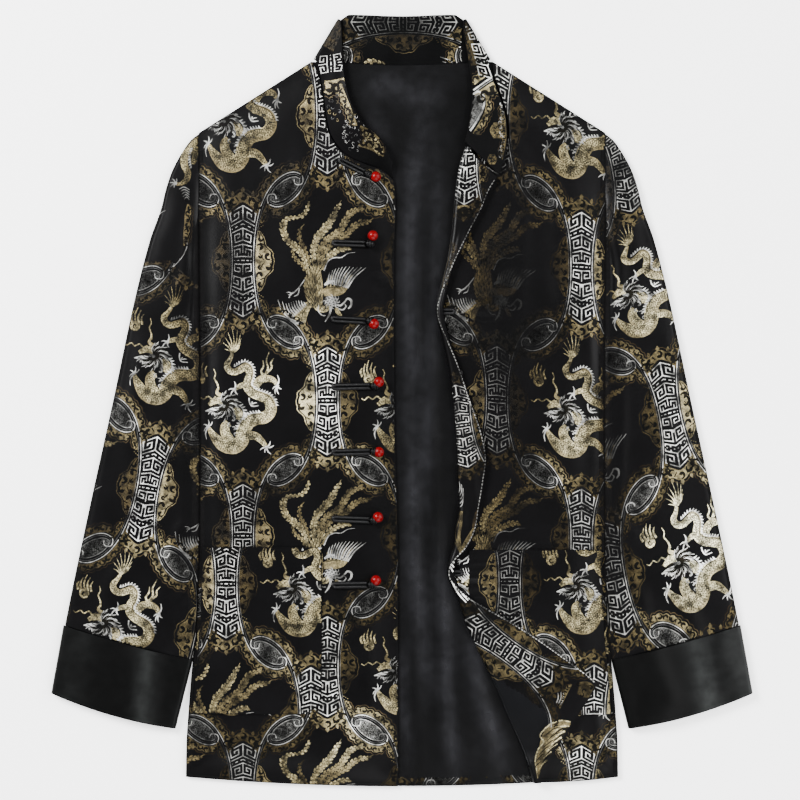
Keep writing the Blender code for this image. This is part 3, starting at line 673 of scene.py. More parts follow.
def add_tube(name, outer, inner, height, bow, along, creases, side, material, dark_sides=True):
    """A flattened tube with an inner skin, open at both ends; its sides may catch no light."""
    skins = []
    for inset in (0, TUBE_WALL):
        skin = tube_rings(outer, inner, height, inset, bow, along, creases, side)
        skins.append(skin * (side, 1, 1))
    rows, columns = skins[0].shape[:2]
    count = rows * columns
    faces = [grid_faces(rows, columns, closed=True), grid_faces(rows, columns, True, count)]
    ring = np.arange(columns)
    far_start, far_end = TUBE_END + TUBE_FLAT, 2 * TUBE_END + TUBE_FLAT
    at_side = (ring <= TUBE_END) | ((ring >= far_start) & (ring <= far_end + 1))
    at_side = np.tile(at_side & dark_sides, rows - 1)
    slots = np.concatenate([at_side, at_side, np.ones(2 * columns, bool)]).astype(int)
    after = (ring + 1) % columns
    for row in (0, rows - 1):
        base = row * columns
        faces.append(np.stack([base + ring, base + after, count + base + after,
                               count + base + ring], -1))
    made = add_mesh(name, np.vstack([s.reshape(-1, 3) for s in skins]), np.vstack(faces),
                    [material, RIM], slots)
    face_outwards(made.data)
    made.data.set_sharp_from_angle(angle=RIM_TURN)
    return made


def flip_creases(creases):
    """Creases drafted for the sleeve at the left, for a tube built at the right."""
    return [(2 * DRAFT_X - x0, y0, 2 * DRAFT_X - x1, y1, half, height)
            for x0, y0, x1, y1, half, height in creases]


def vary_creases(creases):
    """Creases like these for the other sleeve, a little moved and resized."""
    out = []
    for index, (x0, y0, x1, y1, half, height) in enumerate(creases):
        drift = 14 * math.sin(index * 2.3)
        out.append((x0, y0 + drift, x1 + 0.3 * drift, y1 + drift,
                    half * (1 + 0.2 * math.sin(index)), height * (1 + 0.25 * math.cos(index))))
    return out


# Painted highlights on the right and left cuffs, bands of light painted into their colour, in draft
# steps: (x0, y0, x1, y1, half_width, gain)
CUFF_PAINTED_HIGHLIGHTS = (
    ((150, 630, 142, 722, 9, 8), (84, 640, 70, 700, 14, 2.2)),
    ((694, 640, 712, 716, 13, 14), (730, 630, 748, 690, 16, 7)),
)


def paint_cuff_highlights(cuff, bands):
    """Painted highlights: bands of light painted into a cuff's colour."""
    right, down = plan_steps(points_of(cuff)).T
    painted_highlight = np.ones(len(right))
    for x0, y0, x1, y1, half, gain in bands:
        middle = x0 + (x1 - x0) * (down - y0) / (y1 - y0)
        painted_highlight += gain * np.exp(-((right - middle) / half) ** 2)
    add_painted_light(cuff, painted_highlight)


def make_sleeve(name_end, side):
    """A sleeve and its cuff; side is -1 for the wearer's right."""
    table = curve_rows(SLEEVE_ROWS, 5, key=1)
    outer = table[:, :2]
    inner = np.stack([side_x(table[:, 2]) - SLEEVE_TUCK, table[:, 2]], -1)
    end_outer, end_inner = CUFF_END[:2], CUFF_END[2:]
    along = (end_outer - outer[-1]) / np.hypot(*(end_outer - outer[-1]))
    bow = SLEEVE_BOW * smooth((np.arange(BOW_ROWS + 1 - len(table), BOW_ROWS + 1)) / BOW_ROWS)
    creases = SLEEVE_CREASES if side < 0 else vary_creases(SLEEVE_CREASES)
    cloth = add_tube("sleeve_%s_cloth" % name_end, outer, inner, table[:, 3], bow, along,
                     flip_creases(creases), side, SATIN)

    shares = np.linspace(0, 1, CUFF_STEPS)[:, None]
    start_outer = outer[-1] + along * SEAM + (CUFF_PROUD, 0)
    start_inner = inner[-1] + along * SEAM
    cuff_outer = start_outer + (end_outer - start_outer) * shares
    cuff_inner = start_inner + (end_inner - start_inner) * shares
    cuff_bow = SLEEVE_BOW + (CUFF_BOW - SLEEVE_BOW) * shares[:, 0]
    cuff = add_tube("cuff_%s_cloth" % name_end, cuff_outer, cuff_inner,
                    np.full(CUFF_STEPS, CUFF_HEIGHT), cuff_bow, along, flip_creases(CUFF_CREASES),
                    side, CUFF_CLOTH, dark_sides=False)
    # Painted highlights along the cuff
    paint_cuff_highlights(cuff, CUFF_PAINTED_HIGHLIGHTS[side > 0])
    return cloth, cuff


def crease_stations(side):
    """Rows of the collar round its crease, where its end turns over the back of the neck."""
    seam = np.array((side * COLLAR_CREASE[0], *COLLAR_CREASE[1:3]))
    rim = np.array((side * COLLAR_CREASE[3], *COLLAR_CREASE[4:6]))
    fold = (rim - seam) / np.linalg.norm(rim - seam)
    inward = np.array((-side * abs(fold[1]), -abs(fold[0]), 0))
    stations = []
    for turn in np.radians(np.linspace(90, -90, 9)):
        shift = inward * (CREASE_RADIUS * (1 - math.cos(turn)))
        shift = shift + (0, 0, CREASE_RADIUS * math.sin(turn))
        stations.append(np.concatenate([seam + shift, rim + shift]))
    return np.array(stations)


# The back of the collar's seam, drawn down to close it, and its two upper corners, drawn in
BACK_SEAM_X, BACK_SEAM_Y, SEAM_CLOSED = 86, 352, 0.8
CORNER_PULL, CORNER_REACH = 0.07, 7


def make_collar():
    """The band, from one end round the back of the neck to the other."""
    stations = np.vstack([
        curve_rows(COLLAR_RIGHT_END, 3, key=None), crease_stations(-1),
        curve_rows(COLLAR_BACK, 4, key=None), crease_stations(1)[::-1],
        curve_rows(COLLAR_LEFT_END, 3, key=None)])
    behind = (np.abs(stations[:, 0]) < BACK_SEAM_X) & (stations[:, 1] > BACK_SEAM_Y)
    stations[behind, 1] -= SEAM_CLOSED
    steps = np.linalg.norm(np.diff(stations[:, 3:], axis=0), axis=1)
    run = np.concatenate([[0], np.cumsum(steps)])
    for side in (-1, 1):
        corner = run[np.argmin(np.abs(stations[:, 3] - side * COLLAR_CREASE[3])
                               + np.abs(stations[:, 4] - COLLAR_CREASE[4]))]
        pull = CORNER_PULL * np.exp(-((run - corner) / CORNER_REACH) ** 2)[:, None]
        stations[:, 3:] += (stations[:, :3] - stations[:, 3:]) * pull
    share = np.linspace(0, 1, 15)[None, :, None]
    seam, rim = stations[:, None, :3], stations[:, None, 3:]
    grid = seam + (rim - seam) * share
    belly = 4 * share[..., 0] * (1 - share[..., 0])
    ripple = np.sin(np.arange(len(stations)) * 0.32)[:, None]
    grid[..., 2] += belly * (0.35 + 0.25 * ripple)
    return add_sheet("collar_cloth", [grid], BAND, [COLLAR_CLOTH])


def make_pocket(name, rows):
    """A patch pocket on a front, its mouth a little proud."""
    rows = straight_rows(rows, 4)
    share = np.linspace(0, 1, 36)[None, :]
    x = rows[:, 1:2] + (rows[:, 2:3] - rows[:, 1:2]) * share
    y = rows[:, :1] + 0 * share
    z = front_shape(x, y) + WALL / 2 + LAY + POCKET / 2
    mouth = np.exp(-((y - rows[0, 0]) / 5) ** 2)
    return add_sheet(name, [np.stack([x, y, z + 0.25 * mouth], -1)], POCKET, [SATIN])


# ---------------------------------------------------------------- drafting the weave
class Draft:
    """Flat shapes in draft steps, as small quads, sorted by thread."""

    def __init__(self, coarse=1):
        self.parts = []
        self.coarse = coarse
        # A gain on the colour of the shapes drawn next: partly the thread's own duller colour,
        # partly painted light and shade
        self.shade = 1

    def grid(self, thread, points):
        """A patch of quads on points (rows, columns, 2)."""
        rows, columns = points.shape[:2]
        faces = grid_faces(rows, columns)
        self.parts.append((thread, points.reshape(-1, 2), faces, self.shade))

    def quads(self, thread, corners):
        """Single quads by their corners (count, 4, 2)."""
        faces = np.arange(len(corners) * 4).reshape(-1, 4)
        points = np.asarray(corners, float).reshape(-1, 2)
        self.parts.append((thread, points, faces, self.shade))

    def ribbon(self, thread, points, widths, cell=1.9, curved=True):
        """A band along a curve, with a width at each of its points."""
        points = np.asarray(points, float)
        given = max(2, np.size(widths))
        widths = np.interp(np.linspace(0, 1, len(points)), np.linspace(0, 1, given),
                           np.broadcast_to(widths, (given,)))
        table, cell = np.column_stack([points, widths]), cell * self.coarse
        smoothed = curved and len(points) > 2
        table = curve_rows(table, cell, key=None) if smoothed else straight_rows(table, cell)
        centre, width = table[:, :2], np.maximum(table[:, 2], 0.05)
        normal = normals_of(centre)
        count = max(1, int(math.ceil(width.max() / (2.6 * self.coarse))))
        across = np.linspace(-0.5, 0.5, count + 1)[None, :, None]
        self.grid(thread, centre[:, None] + normal[:, None] * across * width[:, None, None])
        return centre, normal, width

    def draw(self, *ribbons):
        """Ribbons, each by its thread, its points and its widths."""
        for thread, points, widths in ribbons:
            self.ribbon(thread, points, widths)

    def dim(self, kinds, gain):
        """Paint some kinds of thread darker: painted shade."""
        self.parts = [(*part[:3], part[3] * (gain if part[0] in kinds else 1))
                      for part in self.parts]

    def mirrored(self, flip_x, flip_y):
        """A copy flipped sideways, upside down or both."""
        scale = (-1 if flip_x else 1, -1 if flip_y else 1)
        made = Draft(self.coarse)
        made.parts = [(thread, pts * scale, *rest) for thread, pts, *rest in self.parts]
        return made

    def moved(self, dx, dy):
        """A copy moved by (dx, dy)."""
        made = Draft(self.coarse)
        made.parts = [(thread, pts + (dx, dy), *rest) for thread, pts, *rest in self.parts]
        return made

    def add(self, other, shade=1):
        """Take in another draft's shapes, with a gain on their colour for painted light and shade.
        """
        self.parts += [(*part[:3], part[3] * shade) for part in other.parts]
        return self


def normals_of(centre):
    """Unit normals of a curve."""
    ahead = np.gradient(centre, axis=0)
    ahead /= np.maximum(np.hypot(*ahead.T)[:, None], 1e-9)
    return np.stack([-ahead[:, 1], ahead[:, 0]], -1)


class Edge:
    """A curve with a way to name places beside it: how far along, and how far out."""

    def __init__(self, points, side, cell=1.7):
        self.line = curve_rows(np.asarray(points, float), cell, key=None)
        self.normal = normals_of(self.line) * side
        steps = np.hypot(*np.diff(self.line, axis=0).T)
        self.run = np.concatenate([[0], np.cumsum(steps)])
        self.length = self.run[-1]

    def out(self, reach):
        """The curve moved out, by its own reach at each point."""
        return self.line + self.normal * np.asarray(reach)[:, None]

    def place(self, run, reach):
        """The place that is run along the curve and reach out from it."""
        x, y, nx, ny = (np.interp(run, self.run, column) for column in
                        (*self.line.T, *self.normal.T))
        return x + nx * reach, y + ny * reach


# The meander panel, charted from its spine outwards and from its top down
MEANDER = """
####### #.....# #.###.# #.#.#.# #.#...# #.##### #...... #######
....... ##.##.# .......
####### #...... #.####. #.#..#. #.##.#. #....#. ######.
....... ####### #...... #.##### #.#...# #.#.#.# ....#.# #######
....... ##.##.# .......
####### #.....# #.###.# #.#...# #.##### #......
....... #######
##....# .#.##.# .#.#..# .#.#### .#..... .######
....... #######
...#..# .#...#. ...#..#
####### #...... #.##### #.#...# #.#.#.# #.###.# #.....# #######
""".split()
PANEL_HALF, GABLE = 54, 8.5


def panel_half_width(y):
    """A meander panel's outline, narrow at its waist."""
    return 9 + 5.6 * np.abs(np.clip(y / 46, -1.15, 1.15)) ** 1.6


def draft_meander(draft):
    """Lines of the chart's marks, a little narrower than the gaps between them."""
    chart = [row[:0:-1] + row for row in MEANDER]
    rows, columns, thin = len(chart), len(chart[0]), 0.25
    corners = []

    def marked(row, column):
        return 0 <= row < rows and 0 <= column < columns and chart[row][column] == "#"

    def place(column, row):
        share = 2 * column / columns - 1
        half = PANEL_HALF - GABLE * abs(share)
        y = half * (2 * row / rows - 1)
        return 0.97 * share * panel_half_width(y), y

    for r in range(rows):
        for c in range(columns):
            if not marked(r, c):
                continue
            left, right = (c + thin * (not marked(r, c - 1)), c + 1 - thin * (not marked(r, c + 1)))
            top, low = (r + thin * (not marked(r - 1, c)), r + 1 - thin * (not marked(r + 1, c)))
            middle = min(max((left + right) / 2, left), right)
            corners.append([place(left, top), place(middle, top), place(middle, low),
                            place(left, low)])
            corners.append([place(middle, top), place(right, top), place(right, low),
                            place(middle, low)])
    draft.quads("silver", corners)


# The outline from the middle of a panel's right side, down under the oval to its curl
OUTLINE = ((11.4, 0), (11.8, 14), (13.2, 28), (16, 42), (20.8, 57), (29.6, 71.5),
           (40.6, 80.6), (51, 83.4), (58.4, 80.4), (58.6, 74.2), (53.2, 73.4), (52, 77.4))
OVAL_X, OVAL_Y = 42.25, 68
OVAL_TILT = math.radians(36.5)
OVAL_HALF = 17.6


def outline(draft, edge, reach, silver, steel):
    """A silver line along an edge, and a thinner grey one beside it."""
    draft.ribbon("silver", edge.line, silver, curved=False)
    draft.ribbon("steel", edge.out(np.full(len(edge.run), reach)), steel, curved=False)


def swirl(draft, x, y, size, turn, thread="dark", width=0.62):
    """A small comma."""
    angles = np.linspace(0, 4.4, 6)
    radius = size * (1 - angles / 6.2)
    points = np.stack([x + radius * np.cos(angles + turn), y + radius * np.sin(angles + turn)], -1)
    draft.ribbon(thread, points, np.array((0.35, 1, 1)) * width * size / 2, cell=1.4)


def knuckles(draft, points, width, side=1, pitch=6.2):
    """A gold band beside a curve: knuckles parted by dark hooks, in a thin scalloped rim."""
    edge = Edge(points, side)
    count = max(2, round(edge.length / pitch))
    step = edge.length / count
    wave = np.abs(np.sin(np.pi * edge.run / step))
    taper = np.clip(np.minimum(edge.run, edge.length - edge.run) / step + 0.30, 0, 1)
    fill = width * (0.66 + 0.20 * wave) * taper
    rim = (width * (0.80 + 0.20 * wave) + 1) * taper
    shares = np.linspace(0, 1, 3)
    low = edge.out(np.full(len(fill), 0.5))
    high = edge.out(np.maximum(fill, 0.6))
    draft.grid("gold", low[:, None] + (high - low)[:, None] * shares[None, :, None])
    draft.ribbon("ochre", edge.out(rim), 0.6, cell=2.2, curved=False)
    for k in range(count):
        at = (k + 0.5) * step
        x, y = edge.place(at, 0.46 * width)
        swirl(draft, x, y, 0.32 * width, 2.3 * k, width=1.6)
        x, y = edge.place(at + 0.5 * step, 0.62 * width)
        x2, y2 = edge.place(at + 0.42 * step, 0.24 * width)
        draft.ribbon("dark", ((x, y), (x2, y2)), (1.7, 0.9), cell=3, curved=False)


LOBE_HALF, LOBE_GAP = 29, 3.2


def lobe_reach(y):
    """How far a lobe reaches from its panel."""
    share = np.clip(np.abs(y) / LOBE_HALF, 0, 1)
    return 10.2 * (1 - share ** 2.6) ** 0.66 + 8.4 / (1 + (np.abs(y) / 11.4) ** 6)


def lobe_x(y, out):
    """How far right a place in a lobe is: out is 0 beside the panel and 1 at the lobe's rim."""
    return panel_half_width(y) + LOBE_GAP + out * lobe_reach(y)


def draft_lobe(draft):
    """The cloud-shaped lobe at the right of a panel's waist."""
    y = np.linspace(-LOBE_HALF, LOBE_HALF, int(40 / draft.coarse) + 1)
    inner = lobe_x(y, 0)
    wave = np.abs(np.sin(np.pi * (y + 5.2) / 10.4))
    reach = lobe_reach(y)
    fill = reach * (0.80 + 0.09 * wave)
    shares = np.linspace(0, 1, 5)
    draft.grid("gold", np.stack([inner[:, None] + fill[:, None] * shares, y[:, None] + 0 * shares],
                                -1))
    rim = np.stack([inner + reach * (0.90 + 0.08 * wave) + 0.9, y], -1)
    draft.ribbon("gold", rim, 0.7, cell=2.2, curved=False)
    for flip in (-1, 1):
        for out, at, size, turn in ((0.52, 21.6, 3, 0.6), (0.34, 13.4, 3.5, 2.6),
                                    (0.70, 5, 3.6, 5.2), (0.26, 5.4, 2.6, 0.8)):
            swirl(draft, lobe_x(at, out), flip * at, size, flip * turn, width=1.75)
        for (out_a, at_a), (out_b, at_b) in (((0.30, 28), (0.50, 20)),
                                             ((0.42, 17.6), (0.80, 16)),
                                             ((0.22, 8), (0.46, 1.6))):
            places = [(lobe_x(at_a, out_a), flip * at_a), (lobe_x(at_b, out_b), flip * at_b)]
            draft.ribbon("dark", places, (1, 2.3, 1), cell=2.4, curved=False)


# How bright the painted shade leaves a panel's shaded lobe
SHADED_LOBE_GAIN = 0.15
GOLDS = ("gold", "ochre")


def draft_frame(coarse, bright_left, shaded_lobe=SHADED_LOBE_GAIN):
    """Everything about one meander panel: its outlines, gold bands, crowns and lobes.

    The threads that lean down to the left, and the lobe on one side, are painted darker: painted
    shade."""
    whole = Draft(coarse)
    draft_meander(whole)
    quarter = Draft(coarse)
    edge = Edge(OUTLINE, 1, cell=1.9 * coarse)
    quarter.ribbon("silver", edge.out(np.full(len(edge.run), 0.85)), (0.7, 0.75, 0.8, 1), cell=9,
                   curved=False)
    quarter.ribbon("steel", edge.out(np.full(len(edge.run), -1.25)), (0.3, 0.3, 0.35, 0.4), cell=9,
                   curved=False)
    knuckles(quarter, ((14.9, 43), (19, 56), (26.6, 70), (33.4, 77.2), (41.6, 82.6), (50, 85.4),
                       (57.5, 84.4)), 9)
    knuckles(quarter, ((16.6, 37), (19.6, 47), (24.4, 56.4)), 6.4, side=-1, pitch=5.2)
    for k in range(11):
        down = 31.5 + 1.25 * k
        out = panel_half_width(down) + 1.7 * (k % 3)
        quarter.ribbon("gold", ((out + 3.9, down), (out + 4.7, down + 0.3)), 0.8, curved=False)
    crown = Draft(coarse)
    knuckles(crown, ((15.6, -46.6), (8, -51.2), (0, -55.6), (-8, -51.2), (-15.6, -46.6)), 12,
             pitch=7.6)
    crown.ribbon("gold", ((0, -65.4), (0, -67.6), (0, -70.4)), (2.4, 4, 0.6))
    for x in (-9.6, 9.6):
        crown.ribbon("gold", ((x, -62), (x * 1.04, -64.2), (x * 1.1, -66.6)), (2, 3.2, 0.6))
    for flip_x in (False, True):
        for flip_y in (False, True):
            part = quarter.mirrored(flip_x, flip_y)
            part.dim(GOLDS, 0.62 if flip_x == flip_y else 0.30)
            whole.add(part, 1 if flip_x == flip_y else 0.75)
    whole.add(crown, 0.34).add(crown.mirrored(False, True), 0.55)
    lobe = Draft(coarse)
    draft_lobe(lobe)
    whole.add(lobe, shaded_lobe if bright_left else 1)
    return whole.add(lobe.mirrored(True, False), 1 if bright_left else shaded_lobe)


OVAL_CURLS = 22


def draft_oval(coarse, tilt_down):
    """A speckled almond; tilt_down leans it down to the right."""
    made = Draft(coarse)
    sign = 1 if tilt_down else -1
    along = np.array((math.cos(OVAL_TILT), sign * math.sin(OVAL_TILT)))
    across = np.array((-along[1], along[0]))
    t = np.linspace(-1, 1, int(20 / coarse) + 1)
    half = 7.6 * (1 - np.abs(t) ** 2.2) ** 0.62
    shares = np.linspace(-1, 1, 7)
    made.grid("speckle", t[:, None, None] * OVAL_HALF * along
              + (half[:, None] * shares)[..., None] * across)
    for lean in (-1, 1):
        rim = t[:, None] * OVAL_HALF * along + (half * lean)[:, None] * across
        made.ribbon("silver", rim, 0.55, cell=9, curved=False)
    for k, x, y in sunflower(OVAL_CURLS):
        swirl(made, *(along * 14 * x + across * 5.6 * y), 1.9, 1.9 * k, width=0.7)
    return made


def sunflower(count, start=0.5):
    """Numbered places (x, y) spread evenly over a disc of radius 1."""
    for k in range(count):
        reach = math.sqrt((k + start) / count)
        yield k, reach * math.cos(2.4 * k), reach * math.sin(2.4 * k)


def fan(draft, thread, root, tips, widths=(1.1, 0.9, 0.3), bend=0.10):
    """Hairs or feathers from a root, or from a row of roots, to their tips."""
    tips = np.asarray(tips, float)
    first, last = (root, root) if np.ndim(root) == 1 else root
    roots = np.linspace(np.asarray(first, float), np.asarray(last, float), len(tips))
    for start, tip in zip(roots, tips):
        side = np.array((-(tip - start)[1], (tip - start)[0]))
        draft.ribbon(thread, (start, (start + tip) / 2 + side * bend, tip), widths, cell=2.4)


def claw(draft, thread, at, tips):
    """A foot with its toes, each bent at a knuckle."""
    at = np.asarray(at, float)
    draft.ribbon(thread, (at - (1.3, 0.6), at + (1.3, 0.6)), 2.4, curved=False)
    for tip in np.asarray(tips, float):
        side = np.array((-(tip - at)[1], (tip - at)[0])) * 0.14
        draft.ribbon(thread, (at, at + (tip - at) * 0.55 + side, tip), (1.4, 1.2, 0.4), cell=2.4)


def spines(draft, thread, points, side, size=2.3, pitch=2.7):
    """Fins along a back."""
    edge = Edge(points, side)
    for k in range(int(edge.length / pitch)):
        at = k * pitch
        corners = [edge.place(at, -0.4), edge.place(at + pitch * 0.92, -0.4),
                   edge.place(at + pitch * 0.95, size), edge.place(at + pitch * 0.80, size)]
        draft.quads(thread, [corners])


def scales(draft, centre, normal, width, size=2.7):
    """Dark scale edges over a body, in rows that alternate."""
    run = np.concatenate([[0], np.cumsum(np.hypot(*np.diff(centre, axis=0).T))])
    pitch = 0.72 * size
    for row in range(1, int(run[-1] / pitch)):
        here = np.array([np.interp(row * pitch, run, column) for column in
                         (*centre.T, *normal.T, width)])
        middle, across, wide = here[:2], here[2:4], here[4]
        ahead = np.array((across[1], -across[0]))
        count = int(wide / size)
        for k in range(count):
            off = (k + 0.5 + 0.5 * (row % 2) - count / 2) * size
            if abs(off) > wide / 2 - 0.9:
                continue
            spot = middle + across * off
            draft.ribbon("dark", (spot - across * 0.9, spot + ahead * 1.1, spot + across * 0.9),
                         0.66, cell=3, curved=False)


def limb(draft, points, widths):
    """A scaled body or leg: gold, with a paler side."""
    centre, normal, width = draft.ribbon("gold", points, widths)
    shares = np.linspace(-0.22, 0.50, 5)[None, :, None]
    draft.grid("cream", centre[:, None] + normal[:, None] * shares * width[:, None, None])
    scales(draft, centre, normal, width)


def draft_dragon(coarse):
    """A dragon that rears over a pearl, its tail tuft at the top."""
    made = Draft(coarse)
    limb(made, ((-10.5, -47), (-13, -41.5), (-16, -36), (-13.5, -30.6), (-7.5, -29.2),
        (-1.5, -32.4), (3, -34.4), (6.6, -31), (7, -25.5), (4.8, -19.5), (5, -13.5), (9.8, -8.6),
        (17.5, -5.6), (24.4, -2.4), (28, 3.5), (27.4, 10.5), (22.4, 15.6), (14.5, 17), (6.8, 20),
        (2, 26), (0, 33), (-1.5, 39.5), (-6, 44.6), (-12.8, 46), (-20.5, 43.2), (-26.6, 37.4),
        (-31.4, 31.4), (-34.4, 26)), (3.2, 4.4, 6.2, 6.6, 6.4, 7.4, 7.8, 8, 8, 8.2, 8.8, 9.2, 9.8,
        10.4, 11, 11.4, 11.8, 12, 12.6, 13.4, 14.2, 14, 13.2, 12.4, 12, 9.6, 6.2, 3.4))
    limb(made, ((-8, 44), (-14, 37), (-17.6, 31), (-18, 25), (-14.5, 21)), (9, 10, 9.5, 9, 7))
    limb(made, ((11.5, -9.5), (13, -16.5), (18, -21.5), (25, -22.6), (31, -20.8), (33.6, -16.6)),
        (8, 8.2, 7.6, 6.8, 5, 3.6))
    limb(made, ((1, 33), (8, 33.6), (14, 35), (19, 39.4), (23, 44.6)), (9, 8.6, 7.6, 5.8, 4))
    made.draw(
        ("cream", ((4, -16.5), (-2, -15.6), (-7.4, -12.6)), (6, 5, 3.4)),
        ("silver", ((6, -3.5), (6.6, 1), (9, 4.4), (15.6, 4.2)), (1.2, 1.2, 1.2, 0.6)),
        ("silver", ((9.4, 0), (9, 2.4), (11.6, 1.4), (14, 1.2)), (1, 1, 0.9, 0.6)))
    claw(made, "silver", (34.4, -15.4), ((34.5, -26), (38.6, -12.4), (35.8, -7.2), (32.4, -7.2),
        (29.6, -12.2)))
    claw(made, "silver", (23.6, 45.6), ((27.4, 39.6), (31, 43.6), (28.2, 52.4), (22, 51),
        (17, 48.4)))
    claw(made, "silver", (-35, 25), ((-39.6, 22.6), (-34.8, 18), (-30.6, 20), (-39, 29.4),
        (-36.4, 37.4)))
    claw(made, "silver", (-8, -12), ((-8.6, -19.8), (-14.4, -11.6), (-12, -6.6), (-5.4, -7)))
    spines(made, "silver", ((-9.5, -34), (-5, -36.2), (0, -39.2), (5, -38.8), (9.6, -34.6),
        (11, -28), (10, -21.6), (8.6, -16.4), (13.4, -12), (20.6, -9.6), (27.6, -6.4), (32.4, -0.6),
        (33.6, 6.6)), -1)
    spines(made, "silver", ((18, 10.6), (11, 11.4), (5, 12.8), (0, 17), (-4.6, 23.6), (-6.8, 30)),
        1, size=2.6)
    made.draw(
        ("dark", ((-11, -33.4), (-5, -34.6), (0.6, -37.2), (6.4, -35.8), (9.2, -30), (8.4, -22.4),
            (7, -16.6), (12.4, -10.8), (20.6, -8), (27.2, -4.2), (31.4, 2)), 0.7),
        ("dark", ((19, 12), (11, 13), (4.6, 15.8), (-1.4, 22), (-5, 30.4)), 0.7))
    fan(made, "cream", (-10.5, -47.5), ((-18.4, -51.6), (-19.6, -57.6), (-17.6, -62.6),
        (-14.8, -67.4), (-10.4, -70.4), (-5.6, -70.6), (-2.2, -66.8), (-1.8, -61.6), (-2, -57),
        (-3.4, -53)), widths=(1.5, 1, 0.3), bend=0.07)
    # the mane sweeps back from the head in locks, over the cheek
    made.ribbon("speckle", ((-24, 4), (-17, 3), (-11, 6), (-12, 14)), (12, 15, 15, 12))
    made.shade = 0.62
    for k in range(24):
        turn = math.radians(-112 + 11.5 * k)
        start = np.array((-19 + 1.6 * math.cos(turn), 4.5 + 1.6 * math.sin(turn)))
        reach = 14 + 2.6 * math.sin(2.1 * k)
        for thread, ahead, share, widths in (("silver", 0.35, 1, (0.8, 1, 0.4)),
                                             ("dark", 0.45123, 0.9, (0.7, 1.1, 0.6))):
            away = np.array((math.cos(turn + ahead), 0.86 * math.sin(turn + ahead)))
            fan(made, thread, start, (start + share * reach * away,), widths, bend=-0.18)
    for x, y, size, turn in ((-12, -4, 2.8, 0.4), (-6.6, -0.8, 2.6, 1.6),
                             (-17, 14, 3, 3.2), (-10, 17.6, 2.8, 4.4),
                             (-22.6, 13, 2.6, 2.2), (-19, -7.6, 2.4, 5.2),
                             (-13.2, 22.4, 2.6, 0.9), (-9, 27, 2.4, 3.9),
                             (-7.4, 32, 2, 1.2), (-26.4, 14.4, 2, 2.8)):
        swirl(made, x, y, size, turn, thread="silver", width=1)
    made.shade = 1
    made.ribbon("cream", ((-10, 6.6), (-6.4, 8.6), (-3.6, 12.6), (-4.6, 18)), (4, 7, 7.6, 4))
    spines(made, "silver", ((-4, 3.4), (0.2, 8), (0.8, 14), (-1.6, 19.4)), -1, size=3.4)
    swirl(made, -7.4, 9, 1.8, 0.5)
    swirl(made, -4.6, 14.6, 1.5, 2.5)
    made.draw(
        ("cream", ((-20, 0), (-25, -1.2), (-30, 0.4), (-34, 3.4)), (5.5, 6.6, 5.4, 3.6)),
        ("gold", ((-22, -6), (-26, -8.6), (-25, -13)), (4, 3.2, 1.6)),
        ("silver", ((-24, 7.4), (-30, 7.6), (-37.6, 9.6)), (3.6, 3.2, 1)))
    fan(made, "silver", (-28, 9), ((-27.4, 15.2), (-31.2, 13.4), (-34.8, 12.8)), bend=0.2)
    made.ribbon("dark", ((-22, 4.2), (-28, 3.8), (-34.5, 6)), (1, 1.3, 0.8))
    swirl(made, -26, -1.6, 1.7, 0.4)
    swirl(made, -32.6, 1.6, 1.3, 2.4)
    made.draw(
        ("cream", ((-24.5, -11.5), (-25.4, -17), (-28.6, -23), (-27.4, -27.4), (-29.2, -32)),
            (1.9, 1.5, 1.3, 1.1, 0.6)),
        ("cream", ((-27, -4.6), (-31, -2.4), (-35, -5.2), (-39.4, -2.2), (-43.6, -4.6),
            (-47.6, -1.4), (-50.6, -3.2)), (1.6, 1.3, 1.2, 0.6)))
    for flame in (((21.5, -25), (18.2, -29.5), (20.6, -34.5), (20, -40.6)),
                  ((21.8, -25.6), (25, -33), (23.4, -39.5), (26.2, -49)),
                  ((23.6, -28), (28.8, -33.4), (27.8, -37.6), (30.8, -42.4))):
        made.ribbon("cream", flame, (2.4, 1.8, 1.5, 0.5))
    for k in range(10):
        ring = math.radians(36 * k)
        centre = np.array((-43, -22))
        made.ribbon("cream", (centre, centre + 5 * np.array((math.cos(ring), math.sin(ring)))),
            (1, 3.3), curved=False)
    swirl(made, -43, -22, 3, 0.6, width=0.8)
    for x, lift in ((-50.5, 6), (-47.4, 10), (-44, 13.5), (-40.4, 11.5), (-37, 8)):
        made.ribbon("cream", ((x + 0.8, -24.5), (x - 1, -27.6 - lift * 0.4), (x + 0.7, -27 - lift)),
            (2.3, 1.7, 0.5))
    return made


